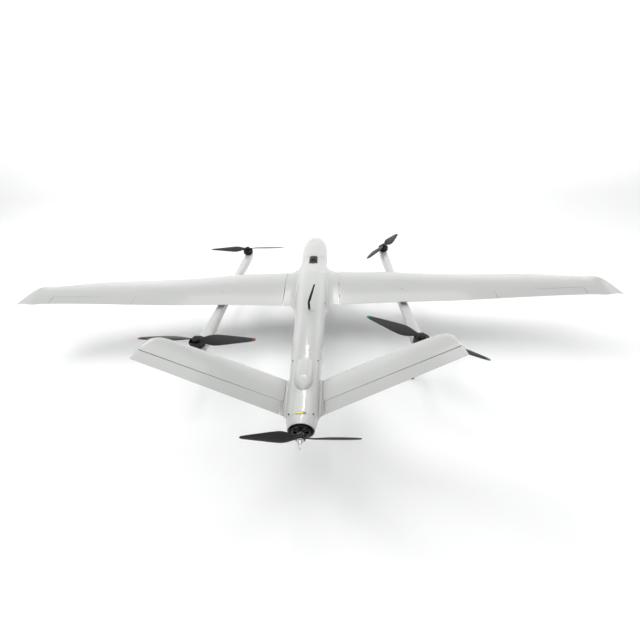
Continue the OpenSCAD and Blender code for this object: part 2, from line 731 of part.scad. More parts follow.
module servos() {
    for (s = [-1, 1]) side(s) {
        aileron_link() translate([0, rod_len, 0]) servo_case();
        tail_link() translate([0, tail_rod_len, 0]) servo_case();
    }
}

// ---- Booms, legs and lift rotors ----
front_y = wing_y + front_rotor_ahead;
rear_y = wing_y - rear_rotor_behind;
boom_top = wing_height - 5;
boom_skin = 2;
function boom_ring(y, w, inset) = squircle(y, w / 2 - inset, boom_top - inset, boom_top - boom_h + inset, 4, 32) ;
function boom_rings(inset) = concat(
    [boom_ring(front_y + 18 - inset, boom_end_w * 0.7, inset), boom_ring(front_y + 10, boom_end_w, inset),
     boom_ring(front_y - 60, boom_end_w, inset), boom_ring(wing_y + 10, boom_w, inset),
     boom_ring(wing_y - root_chord, boom_w, inset), boom_ring(rear_y + 60, boom_end_w, inset),
     boom_ring(rear_y - 10, boom_end_w, inset), boom_ring(rear_y - 18 + inset, boom_end_w * 0.7, inset)]);
module boom() {
    color(white) translate([boom_x, 0, 0]) difference() {
        union() {
            difference() {
                loft(boom_rings(0));
                loft(boom_rings(boom_skin));
            }
            intersection() {
                for (y = [front_y, rear_y]) translate([-40, y - 24, 0]) cube([80, 34, 400]);
                loft(boom_rings(0.2));
            }
            pylon();
        }
        translate([-boom_x, 0, 0]) at_boom_screws() screw_hole(boom_screw_len, boom_screw_r);
    }
}
// Raised pad between boom and wing
pylon_setback = 30;   // front of the pad behind the root leading edge
pylon_len = 215;
pylon_inset = 3;      // how much narrower it is than the boom, per side
pylon_foot = 6;       // how far it reaches into the boom
pylon_rise = 19.5;    // its rear edge over the boom, inside the wing
pylon_slope = 2.2;
module pylon() {
    y0 = wing_y - pylon_setback - pylon_len;
    difference() {
        translate([pylon_inset - boom_w / 2, y0, boom_top - pylon_foot])
            cube([boom_w - 2 * pylon_inset, pylon_len, pylon_foot + 28]);
        translate([-boom_x, 0, 0]) wing_solid();
        translate([-boom_w, y0 - cut, boom_top + pylon_rise]) rotate([pylon_slope, 0, 0])
            cube([2 * boom_w, pylon_len + 45, 40]);
    }
}
leg_top = boom_top - boom_h;
leg_wall = 1.5;
leg_places = [wing_y + 93, rear_y + 20];   // under the wing's leading edge, and by the rear motors
foot_sole = 6;        // rubber under the end of the leg
foot_collar = 2;      // rubber round the leg
module at_legs() {
    for (s = [-1, 1]) side(s) for (y = leg_places) translate([boom_x, y, 0]) children();
}
module landing_legs() {
    h = leg_top - foot_sole;
    color(carbon) at_legs() translate([0, 0, foot_sole]) difference() {
        cylinder(d = leg_d, h = h);
        translate([0, 0, -cut]) cylinder(d = leg_d - 2 * leg_wall, h = h);
    }
}
module landing_feet() {
    color(black) at_legs() difference() {
        union() {
            cylinder(d = foot_d, h = foot_sole - 1);
            translate([0, 0, foot_sole - 1]) cylinder(d1 = foot_d, d2 = leg_d + 2 * foot_collar, h = foot_h + 1);
        }
        translate([0, 0, foot_sole]) cylinder(d = leg_d, h = 3 * foot_h);
    }
}
module at_rotor(front) {
    translate([boom_x, front ? front_y : rear_y, boom_top]) children();
}
module stator() {
    color("silver") {
        cylinder(d = lift_motor_d * 0.72, h = 4);
        translate([0, 0, 4]) cylinder(d = lift_motor_d * 0.22, h = 3);
    }
    color("#8a4a20") translate([0, 0, 7]) difference() {
        cylinder(d = lift_motor_d - 9, h = lift_motor_h - 14);
        for (i = [0:11]) rotate(i * 30) translate([lift_motor_d / 2 - 8, -1.5, -cut]) cube([6, 3, 60]);
        translate([0, 0, -cut]) cylinder(r = 3 + run, h = 60);
    }
}
module stator_parts() {
    difference() {
        stator();
        translate([0, 0, 2]) cylinder(r = 3 + run, h = 60);
    }
}
module bell(d, h) {
    color(black) {
        difference() {
            translate([0, 0, 5]) cylinder(d = d, h = h - 5);
            translate([0, 0, 4]) cylinder(d = d - 5, h = h - 8.5);
            for (i = [0:7]) rotate(i * 45) translate([d * 0.19, -d * 0.065, h - 6]) cube([d * 0.2, d * 0.13, 10]);
        }
        translate([0, 0, 3]) cylinder(r = 3, h = h - 4);
        translate([0, 0, h]) cylinder(d = d * 0.32, h = 2);
    }
}

// ---- Propellers: blades run along X, spin is about +Z, turning sense set by hand ----
blade_table = [ // share of the radius, chord as a share of the diameter, pitch angle
    [0.05, 0.030, 24], [0.12, 0.046, 26], [0.22, 0.084, 25], [0.34, 0.104, 21], [0.48, 0.098, 16],
    [0.64, 0.080, 12.5], [0.80, 0.060, 10], [0.92, 0.042, 8.5], [0.985, 0.026, 8], [1.0, 0.010, 8]];
function blade_ring(r, c, pitch, t) = [for (p = section(0, c * 0.42, -c * 0.58, 0, 0, t, 0.05, 0.35, 12))
    [r, p[1] * cos(pitch) - p[2] * sin(pitch), p[1] * sin(pitch) + p[2] * cos(pitch)]];
module blade(d, boost) {
    loft([for (b = blade_table) blade_ring(b[0] * d / 2, b[1] * d, b[2] * boost, 0.09 + 0.12 * pow(1 - b[0], 3))]);
}
module propeller(d, hub_d, hub_h, bore, boost) {
    difference() {
        union() {
            for (a = [0, 180]) rotate(a) translate([0, 0, hub_h / 2]) blade(d, boost);
            cylinder(d = hub_d, h = hub_h);
        }
        translate([0, 0, -cut]) cylinder(d = bore + 2 * run, h = hub_h + 2 * cut);
    }
}
module lift_propeller(front, hand, turn) {
    color(carbon) at_rotor(front) translate([0, 0, lift_motor_h + 2]) rotate(turn)
        mirror([0, hand < 0 ? 1 : 0, 0]) {
            propeller(lift_prop_d, 28, 8, 6, 1);
            translate([0, 0, 8]) difference() {
                cylinder(d1 = 24, d2 = 20, h = 4);
                for (x = [-1, 1]) translate([x * 6, 0, 2]) cylinder(r = 1.6, h = 4);
            }
        }
}
module lift_bell(front) { at_rotor(front) bell(lift_motor_d, lift_motor_h); }
// Turn of each lift propeller at rest: front left, front right, rear left, rear right
turn_fl = 0;
turn_fr = 58;
turn_rl = 2;
turn_rr = -35;

// ---- Pusher: local +Z points aft ----
prop_back = rim_y - 19;
bell_face = rim_y - 5;
module aft(y) { translate([0, y, thrust_z]) rotate([90, 0, 0]) children(); }
bulkhead_y = bell_face + pusher_motor_len + 4;
bulkhead_t = 4;
module motor_bulkhead() {
    color(carbon) difference() {
        loft([ring_at(bulkhead_y + bulkhead_t, skin + seat), ring_at(bulkhead_y, skin + seat)]);
        aft(bulkhead_y + bulkhead_t) {
            translate([0, 0, -cut]) cylinder(r = 6, h = 10);
            for (i = [0:3]) rotate(45 + i * 90) translate([26, 0, -cut]) cylinder(r = 5, h = 10);
            for (i = [0:3]) rotate(i * 90) translate([12.5, 0, -cut]) cylinder(r = 1.6, h = 10);
        }
    }
}
module pusher_stator() {
    aft(bulkhead_y) difference() {
        union() {
            color("silver") {
                for (i = [0:3]) rotate(i * 90) translate([-4, 0, 0]) cube([8, 17, 3]);
                cylinder(d = 24, h = 4);
            }
            color("#8a4a20") translate([0, 0, 6]) cylinder(d = pusher_motor_d - 9, h = pusher_motor_len - 16);
            color("silver") translate([0, 0, 4]) cylinder(d = 14, h = 2);
        }
        translate([0, 0, 1]) cylinder(r = shaft_d / 2 + run, h = 90);
        for (i = [0:3]) rotate(i * 90) translate([0, 12.5, -cut]) cylinder(r = 1.5, h = 4.5);
    }
}
module pusher_bell() {
    d = pusher_motor_d;
    h = pusher_motor_len;
    color(black) aft(bulkhead_y) {
        difference() {
            translate([0, 0, 5]) cylinder(d = d, h = h - 5);
            translate([0, 0, 4]) cylinder(d = d - 5, h = h - 9);
            for (i = [0:6]) rotate(i * 360 / 7) translate([d * 0.16, 0, h - 6]) linear_extrude(10)
                polygon([[0, -1], [d * 0.25, -d * 0.13], [d * 0.25, d * 0.13], [0, 1]]);
        }
        translate([0, 0, 2]) cylinder(d = shaft_d, h = bulkhead_y - rim_y + shaft_reach - 2);
        translate([0, 0, h]) cylinder(d = 16, h = bulkhead_y - h - prop_back - 5);
    }
}
module pusher_propeller() {
    color(carbon) aft(prop_back + 5) rotate(-1) propeller(pusher_prop_d, 27, 10, shaft_d, 1.35);
}
module pusher_nut() {
    color("silver") aft(prop_back - 5) difference() {
        union() {
            cylinder(d = 19, h = 2.5);
            translate([0, 0, 2.5]) cylinder(d = 13, h = 7, $fn = 6);
            translate([0, 0, 9.5]) cylinder(d1 = 11, d2 = 8.5, h = 4);
        }
        translate([0, 0, -cut]) cylinder(r = shaft_d / 2 + run, h = 30);
    }
}

fuselage_shell();
nose_cover();
nose_latch_plate();
nose_latch_slider();
tail_cowl();
motor_bulkhead();
rear_blister();
payload_plate();
equipment_tray();
battery_pack();
autopilot();
satnav_puck();
speed_controllers();
wing_spars();
wing_pins();
tail_spars();
body_screws();
wing_screws();
tail_sticker();
antenna_socket();
antenna_knuckle();
antenna_whip();
pusher_stator();
pusher_bell();
pusher_propeller();
pusher_nut();
side(-1) wing();  // left_wing
side(1) wing();  // right_wing
side(-1) aileron();  // left_aileron
side(1) aileron();  // right_aileron
side(-1) aileron_link() control_horn();  // left_aileron_horn
side(1) aileron_link() control_horn();  // right_aileron_horn
side(-1) aileron_link() translate([0, rod_len, 0]) servo_arm();  // left_aileron_arm
side(1) aileron_link() translate([0, rod_len, 0]) servo_arm();  // right_aileron_arm
side(-1) aileron_link() push_rod(rod_len);  // left_aileron_rod
side(1) aileron_link() push_rod(rod_len);  // right_aileron_rod
side(-1) tail_panel();  // left_tail_panel
side(1) tail_panel();  // right_tail_panel
side(-1) ruddervator();  // left_ruddervator
side(1) ruddervator();  // right_ruddervator
side(-1) tail_link() control_horn();  // left_tail_horn
side(1) tail_link() control_horn();  // right_tail_horn
side(-1) tail_link() translate([0, tail_rod_len, 0]) servo_arm();  // left_tail_arm
side(1) tail_link() translate([0, tail_rod_len, 0]) servo_arm();  // right_tail_arm
side(-1) tail_link() push_rod(tail_rod_len);  // left_tail_rod
side(1) tail_link() push_rod(tail_rod_len);  // right_tail_rod
servos();
side(-1) boom();  // left_boom
side(1) boom();  // right_boom
landing_legs();
landing_feet();
for (s = [-1, 1], f = [true, false]) side(s) at_rotor(f) stator_parts();  // lift_stators
side(-1) lift_bell(true);  // front_left_bell
side(1) lift_bell(true);  // front_right_bell
side(-1) lift_bell(false);  // rear_left_bell
side(1) lift_bell(false);  // rear_right_bell
side(-1) lift_propeller(true, 1, turn_fl);  // front_left_propeller
side(1) lift_propeller(true, 1, turn_fr);  // front_right_propeller
side(-1) lift_propeller(false, -1, turn_rl);  // rear_left_propeller
side(1) lift_propeller(false, -1, turn_rr);  // rear_right_propeller
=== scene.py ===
"""Looks of the fixed wing drone: gloss white skins, black motors and propellers, and the small fittings.

Lengths are in metres, +X is the right wing, +Y the nose and +Z up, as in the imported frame.
"""

import json
from math import atan2, cos, pi, radians, sin, sqrt

import bmesh
import bpy
import numpy as np
from mathutils import Matrix, Vector

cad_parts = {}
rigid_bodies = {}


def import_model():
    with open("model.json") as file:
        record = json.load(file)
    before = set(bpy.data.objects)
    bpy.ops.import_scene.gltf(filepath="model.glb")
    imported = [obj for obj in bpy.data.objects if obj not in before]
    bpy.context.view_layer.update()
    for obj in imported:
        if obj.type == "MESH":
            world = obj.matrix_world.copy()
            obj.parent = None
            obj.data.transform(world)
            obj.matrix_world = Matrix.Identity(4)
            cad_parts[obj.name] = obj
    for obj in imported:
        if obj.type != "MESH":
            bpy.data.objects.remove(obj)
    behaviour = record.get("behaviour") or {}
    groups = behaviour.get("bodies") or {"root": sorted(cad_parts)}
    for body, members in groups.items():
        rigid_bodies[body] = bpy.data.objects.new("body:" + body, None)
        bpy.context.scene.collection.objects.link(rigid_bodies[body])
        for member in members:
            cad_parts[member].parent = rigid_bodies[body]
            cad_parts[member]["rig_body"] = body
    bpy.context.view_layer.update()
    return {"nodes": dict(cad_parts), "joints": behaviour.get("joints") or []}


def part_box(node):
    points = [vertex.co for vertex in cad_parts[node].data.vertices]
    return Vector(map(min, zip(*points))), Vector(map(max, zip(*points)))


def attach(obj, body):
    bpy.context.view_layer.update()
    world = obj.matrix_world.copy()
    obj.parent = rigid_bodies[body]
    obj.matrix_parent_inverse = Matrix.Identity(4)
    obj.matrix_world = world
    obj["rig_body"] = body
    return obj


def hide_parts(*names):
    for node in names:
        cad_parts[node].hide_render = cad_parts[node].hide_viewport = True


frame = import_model()
MM = 0.001

# ---------------------------------------------------------------- camera
EYE = Vector((0.0790, -1.1383, 0.8935))
LENS = 16.2


def make_camera():
    data = bpy.data.cameras.new("camera")
    data.lens = LENS
    data.sensor_width = 36.0
    camera = bpy.data.objects.new("camera", data)
    bpy.context.collection.objects.link(camera)
    forward = Vector((-0.0322, 0.8094, -0.5864)).normalized()
    right = Vector((0.9994, 0.0171, -0.0312)).normalized()
    up = right.cross(forward).normalized()
    right = forward.cross(up)
    turn = Matrix((right, up, -forward)).transposed()
    camera.matrix_world = Matrix.Translation(EYE) @ turn.to_4x4()
    bpy.context.scene.camera = camera


make_camera()

# ---------------------------------------------------------------- sizes, from the frame
BODY_LEN = 1.446
RIM_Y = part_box("tail_cowl")[0].y
COWL_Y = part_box("tail_cowl")[1].y
NOSE_Y = RIM_Y + BODY_LEN
LIP_LEN = 14 * MM
SEAM_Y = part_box("fuselage_shell")[1].y - LIP_LEN
BODY_W = 0.154
BODY_H = 0.141
KEEL_Z = 0.112
WING_Z = 0.205
WING_Y = NOSE_Y - 0.541
THRUST_Z = WING_Z + 8 * MM
JOINT_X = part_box("fuselage_shell")[1].x
HALF_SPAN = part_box("right_wing")[1].x
ROOT_CHORD = 0.282
SKIN = 2.5 * MM
BOOM_X = (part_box("right_boom")[0].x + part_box("right_boom")[1].x) / 2
BOOM_TOP = 0.200
FRONT_Y = WING_Y + 0.319
REAR_Y = WING_Y - 0.540


# ---------------------------------------------------------------- curves through tables
def smooth(table, x, column=1):
    """A smooth curve with no overshoot through the rows of a table, read at x."""
    rows = np.array([[r[0], r[column]] for r in table], float)
    xs, ys = rows[:, 0], rows[:, 1]
    x = np.clip(np.asarray(x, float), xs[0], xs[-1])
    step = np.diff(xs)
    slope = np.diff(ys) / step
    tangent = np.zeros_like(ys)
    for i in range(1, len(xs) - 1):
        a, b = slope[i - 1], slope[i]
        if a * b > 0:
            w1 = 2 * step[i] + step[i - 1]
            w2 = step[i] + 2 * step[i - 1]
            tangent[i] = (w1 + w2) / (w1 / a + w2 / b)
    tangent[0], tangent[-1] = slope[0], slope[-1]
    k = np.clip(np.searchsorted(xs, x, side="right") - 1, 0, len(xs) - 2)
    t = (x - xs[k]) / step[k]
    return (
        ys[k] * (1 + 2 * t) * (1 - t) ** 2
        + tangent[k] * step[k] * t * (1 - t) ** 2
        + ys[k + 1] * t * t * (3 - 2 * t)
        + tangent[k + 1] * step[k] * t * t * (t - 1)
    )


def ease(t):
    t = np.clip(t, 0, 1)
    return t * t * (3 - 2 * t)


def soft_min(a, b, k):
    """The lower of two fields, blended into a fillet of about k."""
    h = np.clip(0.5 + 0.5 * (b - a) / k, 0, 1)
    return b + (a - b) * h - k * h * (1 - h)


# ---------------------------------------------------------------- the body's shape
NOSE_SHARE = 0.163
NOSE_MID = 0.47
# share of the length from the nose, half width, top and bottom as shares, squareness
STATIONS = [
    (0.163, 1.000, 1.000, 0.007, 2.6), (0.213, 0.990, 1.007, 0.000, 2.7), (0.279, 0.940, 1.000, 0.000, 2.8),
    (0.344, 0.895, 1.005, 0.000, 2.8), (0.379, 0.900, 1.030, 0.000, 2.8), (0.414, 0.935, 1.060, 0.000, 2.8),
    (0.483, 0.960, 1.075, 0.007, 2.8), (0.559, 0.935, 1.060, 0.035, 2.8), (0.607, 0.870, 1.035, 0.070, 2.8),
    (0.644, 0.815, 1.015, 0.106, 2.8), (0.734, 0.753, 1.000, 0.199, 2.9), (0.803, 0.695, 0.993, 0.270, 3.0),
    (0.869, 0.636, 0.986, 0.340, 3.0), (0.932, 0.590, 0.980, 0.404, 2.9), (1.000, 0.540, 0.974, 0.480, 2.8),
]


def body_shape(y):
    """Half width, top height, bottom height and squareness of the body at y."""
    share = (NOSE_Y - np.asarray(y, float)) / BODY_LEN
    half = smooth(STATIONS, share, 1) * BODY_W / 2
    top = KEEL_Z + smooth(STATIONS, share, 2) * BODY_H
    bottom = KEEL_Z + smooth(STATIONS, share, 3) * BODY_H
    return half, top, bottom, smooth(STATIONS, share, 4)


def body_field(x, y, z):
    half, top, bottom, n = body_shape(y)
    rise = (top - bottom) / 2
    rho = (np.abs(x / half) ** n + np.abs((z - (top + bottom) / 2) / rise) ** n) ** (1 / n)
    return (rho - 1) * np.minimum(half, rise)


def skin_z(x, y):
    """Height of the upper skin of the bare body at x, y."""
    half, top, bottom, n = body_shape(y)
    share = np.clip(1 - np.abs(x / half) ** n, 0, 1) ** (1 / n)
    return (top + bottom) / 2 + (top - bottom) / 2 * share


# ---------------------------------------------------------------- wing and tail sections
WING_RISE = 0.0455
INCIDENCE = 0.05
CAMBER = 0.02
WING_THICK = 0.115
TIP_LEN = 45 * MM
TIP_LIFT = 12 * MM
# share of the panel, then leading and trailing edge behind the root leading edge
WING_TABLE = [(0.000, 0, 282), (0.198, 29, 285), (0.448, 83, 299), (0.760, 124, 302), (0.915, 162, 308),
              (0.960, 173, 316)]
TIP_TABLE = [(0.00, 173, 316), (0.45, 177, 318), (0.78, 187, 322), (0.95, 205, 331), (1.00, 232, 343)]
PANEL = HALF_SPAN - JOINT_X
TAIL_X = 60 * MM
TAIL_Z = WING_Z + 5 * MM
TAIL_SLOPE = radians(33.3)
TAIL_SPAN = 0.404
TAIL_CHORD = 0.128
TAIL_Y = NOSE_Y - 1.265
TAIL_THICK = 0.105
# share of the tail's span, then its leading edge behind the root's
TAIL_TABLE = [(0, 0), (0.3, 6), (0.6, 14), (0.84, 24), (0.92, 30), (0.952, 38), (0.98, 52), (0.996, 74),
              (1.0, 95)]


def half_thickness(t):
    return 5 * (0.2969 * np.sqrt(t) - 0.1260 * t - 0.3516 * t**2 + 0.2843 * t**3 - 0.1036 * t**4)


def wing_edges(x):
    """Leading and trailing edge of the wing at x, behind the root leading edge."""
    u = (np.asarray(x, float) - JOINT_X) / PANEL
    t = (np.asarray(x, float) - (HALF_SPAN - TIP_LEN)) / TIP_LEN
    near = t < 0
    lead = np.where(near, smooth(WING_TABLE, u, 1), smooth(TIP_TABLE, t, 1))
    trail = np.where(near, smooth(WING_TABLE, u, 2), smooth(TIP_TABLE, t, 2))
    return lead * MM, trail * MM


def wing_lift(x):
    t = np.clip((np.asarray(x, float) - (HALF_SPAN - TIP_LEN)) / TIP_LEN, 0, 1)
    return WING_Z + WING_RISE * (x - JOINT_X) + TIP_LIFT * t**2


SWEEP_AHEAD = (62 * MM, 113 * MM)
SWEEP_BEHIND = (38 * MM, 77 * MM)
SWEEP_START = 24 * MM


def sweep(run, size):
    share = np.clip(run / size[0], 0, 0.9995)
    return size[1] * (1 - np.sqrt(1 - share**2))


def saddle_field(x, y, z):
    """The wing centre, whose edges sweep out along the body."""
    x = np.abs(x)
    reach = np.minimum(x, JOINT_X)
    ahead = sweep(JOINT_X - reach, SWEEP_AHEAD)
    behind = sweep(JOINT_X - SWEEP_START - reach, SWEEP_BEHIND)
    chord = ROOT_CHORD + ahead + behind
    back = WING_Y + ahead - y
    c = back / chord
    inside = np.clip(c, 0, 1)
    half = half_thickness(inside) * WING_THICK * ROOT_CHORD + 0.6 * MM * inside
    middle = (WING_Z + WING_RISE * (x - JOINT_X) + INCIDENCE * (chord * (1 - inside) - behind)
              + 4 * CAMBER * chord * inside * (1 - inside))
    outside = np.maximum(np.maximum(-c, c - 1), 0) * chord
    return np.sqrt((z - middle) ** 2 + outside**2) - half


def tail_axes(x, z):
    """Distance along and across the slope of a tail panel."""
    dx, dz = np.abs(x) - TAIL_X, z - TAIL_Z
    return dx * cos(TAIL_SLOPE) + dz * sin(TAIL_SLOPE), dz * cos(TAIL_SLOPE) - dx * sin(TAIL_SLOPE)


def stub_field(x, y, z):
    """The root of a tail panel, growing wider into the body."""
    s, w = tail_axes(x, z)
    grow = sweep(np.clip(-s, 0, 0.022), (22 * MM, 14 * MM))
    chord = TAIL_CHORD + 1.6 * grow
    c = (TAIL_Y + grow - y) / chord
    inside = np.clip(c, 0, 1)
    half = half_thickness(inside) * TAIL_THICK * TAIL_CHORD + 0.6 * MM * inside
    outside = np.maximum(np.maximum(-c, c - 1), 0) * chord
    return np.sqrt(w**2 + outside**2) - half


def skin_field(x, y, z):
    body = body_field(x, y, z)
    tail = soft_min(body, stub_field(x, y, z), 11 * MM)
    wing = soft_min(body, saddle_field(x, y, z), 8 * MM)
    return np.where(np.asarray(y) < -0.30, tail, wing)


# ---------------------------------------------------------------- meshes
def link(name, mesh, sharp=35):
    mesh.validate()
    mesh.shade_smooth()
    mesh.set_sharp_from_angle(angle=radians(sharp))
    obj = bpy.data.objects.new(name, mesh)
    bpy.context.collection.objects.link(obj)
    return obj


def from_rings(name, rings, close=(True, True), join=0, sharp=35):
    """A tube through rings of equal length, capped at the ends that close says."""
    rings = np.asarray(rings, float)
    count, points = rings.shape[:2]
    faces = []
    for j in range(count - 1 if not join else count):
        for i in range(points):
            k, nxt = (i + 1) % points, (j + 1) % count
            faces.append((j * points + i, j * points + k, nxt * points + k, nxt * points + i))
    if close[0]:
        faces.append(tuple(range(points - 1, -1, -1)))
    if close[1]:
        faces.append(tuple(range((count - 1) * points, count * points)))
    mesh = bpy.data.meshes.new(name)
    mesh.from_pydata(rings.reshape(-1, 3).tolist(), [], faces)
    tidy(mesh)
    return link(name, mesh, sharp)


def tidy(mesh, near=2e-6):
    """Welds doubled points and turns the faces outward."""
    bm = bmesh.new()
    bm.from_mesh(mesh)
    bmesh.ops.remove_doubles(bm, verts=bm.verts, dist=near)
    bmesh.ops.dissolve_degenerate(bm, edges=bm.edges, dist=1e-7)
    bmesh.ops.recalc_face_normals(bm, faces=bm.faces)
    bm.to_mesh(mesh)
    bm.free()


def join_pieces(name, pieces, sharp=35):
    """One object from several, which are removed. Each keeps its own materials."""
    bm = bmesh.new()
    materials = []
    for piece in pieces:
        count = len(bm.faces)
        bm.from_mesh(piece.data)
        bm.faces.ensure_lookup_table()
        own = list(piece.data.materials) or [None]
        materials += [m for m in own if m not in materials]
        for face in bm.faces[count:]:
            face.material_index = materials.index(own[min(face.material_index, len(own) - 1)])
    mesh = bpy.data.meshes.new(name)
    bm.to_mesh(mesh)
    bm.free()
    if materials != [None]:
        for material in materials:
            mesh.materials.append(material)
    for piece in pieces:
        bpy.data.objects.remove(piece)
    return link(name, mesh, sharp)


def mirrored(name, piece):
    """A left-hand copy of a right-hand piece."""
    mesh = piece.data.copy()
    mesh.name = name
    mesh.transform(Matrix.Scale(-1, 4, (1, 0, 0)))
    mesh.flip_normals()
    return link(name, mesh)


def placed(piece, nodes, material=None):
    """Shows a piece in place of CAD nodes, on the body that they move with."""
    if material is not None:
        piece.data.materials.clear()
        piece.data.materials.append(material)
        for face in piece.data.polygons:
            face.material_index = 0
    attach(piece, frame["nodes"][nodes[0]]["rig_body"])
    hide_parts(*nodes)
    return piece


# ---------------------------------------------------------------- rays and sections
def leave(start, aim, reach, field=skin_field, steps=30):
    """Where rays from inside leave a field."""
    low = np.zeros(len(start))
    high = np.full(len(start), float(reach))
    for _ in range(steps):
        mid = (low + high) / 2
        at = start + aim * mid[:, None]
        inside = field(at[:, 0], at[:, 1], at[:, 2]) < 0
        low, high = np.where(inside, mid, low), np.where(inside, high, mid)
    return start + aim * ((low + high) / 2)[:, None]


def unit(v):
    return v / np.linalg.norm(v, axis=-1, keepdims=True)


def share_line(count, ends=0.35):
    """0 to 1 in count steps, closer together at both ends."""
    t = np.linspace(0, 1, count + 1)
    return ends * (1 - np.cos(pi * t)) / 2 + (1 - ends) * t


def stadium(top, front, rear, c_front, c_rear):
    """Start and turn of the rays round a section: top, leading edge, underside, trailing edge."""
    line = c_rear + (c_front - c_rear) * share_line(top)
    c = np.concatenate([line[:-1], np.full(front, c_front), line[::-1][:-1], np.full(rear, c_rear)])
    turn = np.concatenate([np.full(top, 90.0), 90 - 180 * np.arange(front) / front, np.full(top, -90.0),
                           -90 - 180 * np.arange(rear) / rear])
    return c, np.radians(turn)


HALF_STEPS = 36
ROUND = dict(top=84, front=HALF_STEPS, rear=HALF_STEPS)


def wing_row(x):
    """Points round the wing centre at x, from inside its section outward."""
    c, turn = stadium(c_front=0.035, c_rear=0.9975, **ROUND)
    ahead = float(sweep(JOINT_X - x, SWEEP_AHEAD))
    behind = float(sweep(JOINT_X - SWEEP_START - x, SWEEP_BEHIND))
    chord = ROOT_CHORD + ahead + behind
    start = np.stack([np.full(len(c), x), WING_Y + ahead - chord * c,
                      WING_Z + WING_RISE * (x - JOINT_X) + INCIDENCE * (chord * (1 - c) - behind)
                      + 4 * CAMBER * chord * c * (1 - c)], 1)
    aim = np.stack([np.zeros(len(c)), np.cos(turn), np.sin(turn)], 1)
    return start, aim


def stub_row(s):
    """The same round a tail root, a distance s along its slope."""
    c, turn = stadium(c_front=0.04, c_rear=0.996, **ROUND)
    grow = float(sweep(max(0.0, -s), (22 * MM, 14 * MM)))
    chord = TAIL_CHORD + 1.6 * grow
    across = np.array([cos(TAIL_SLOPE), 0, sin(TAIL_SLOPE)])
    over = np.array([-sin(TAIL_SLOPE), 0, cos(TAIL_SLOPE)])
    start = np.array([TAIL_X, 0, TAIL_Z]) + s * across + np.outer(TAIL_Y + grow - chord * c, [0, 1, 0])
    aim = np.outer(np.cos(turn), [0, 1, 0]) + np.outer(np.sin(turn), over)
    return start, aim


def collar(inner, heart, y_front, y_rear, z_axis, rows=30):
    """Rings from a closed curve at a root out to the crown, the keel and two body sections."""
    top, front, rear = ROUND["top"], ROUND["front"], ROUND["rear"]
    t = np.arange(top) / top
    y = np.concatenate([y_rear + (y_front - y_rear) * t, np.full(front, y_front),
                        y_front + (y_rear - y_front) * t, np.full(rear, y_rear)])
    turn = np.radians(np.concatenate([np.full(top, 90.0), 90 - 180 * np.arange(front) / front,
                                      np.full(top, -90.0), -90 + 180 * np.arange(rear) / rear]))
    far = np.stack([np.zeros(len(y)), y, np.full(len(y), z_axis)], 1)
    far_aim = np.stack([np.cos(turn), np.zeros(len(y)), np.sin(turn)], 1)
    near_aim = unit(inner - heart)
    rings = [inner]
    for j in range(1, rows + 1):
        r = (j / rows) ** 1.25
        start = heart + (far - heart) * r
        aim = unit(near_aim * (1 - r) + far_aim * r)
        rings.append(leave(start, aim, 0.13))
    return rings


def strip(bm, rings, wrap=True, flip=False):
    """Faces between neighbouring rings."""
    rows = [[bm.verts.new(p) for p in ring] for ring in rings]
    for a, b in zip(rows, rows[1:]):
        n = len(a)
        for i in range(n if wrap else n - 1):
            k = (i + 1) % n
            bm.faces.new((a[i], b[i], b[k], a[k]) if flip else (a[i], a[k], b[k], b[i]))
    return rows


def half_ring(y, inset=None):
    """A right half section, from the crown down to the keel; with an inset, of the bare body alone."""
    turn = np.radians(90 - 180 * np.arange(HALF_STEPS + 1) / HALF_STEPS)
    aim = np.stack([np.cos(turn), np.zeros(len(turn)), np.sin(turn)], 1)
    start = np.tile([0.0, y, RAY_Z], (len(turn), 1))
    if inset is None:
        return leave(start, aim, 0.13)
    return leave(start, aim, 0.13, lambda a, b, c: body_field(a, b, c) + inset)


RAY_Z = WING_Z
JOINT_GAP = 0.8 * MM         # each side of the joints of wing and tail
JOINT_OPENING = 1.6 * MM     # more at the rear of the wing joint
COLLAR_FRONT, COLLAR_BACK = WING_Y + 0.130, WING_Y - ROOT_CHORD - 0.098
TAIL_FRONT, TAIL_BACK = TAIL_Y + 0.026, COWL_Y + 1 * MM
SEAM_CHAMFER = 0.6 * MM
SEAM_GAP = 1.0 * MM          # each side of the nose seam


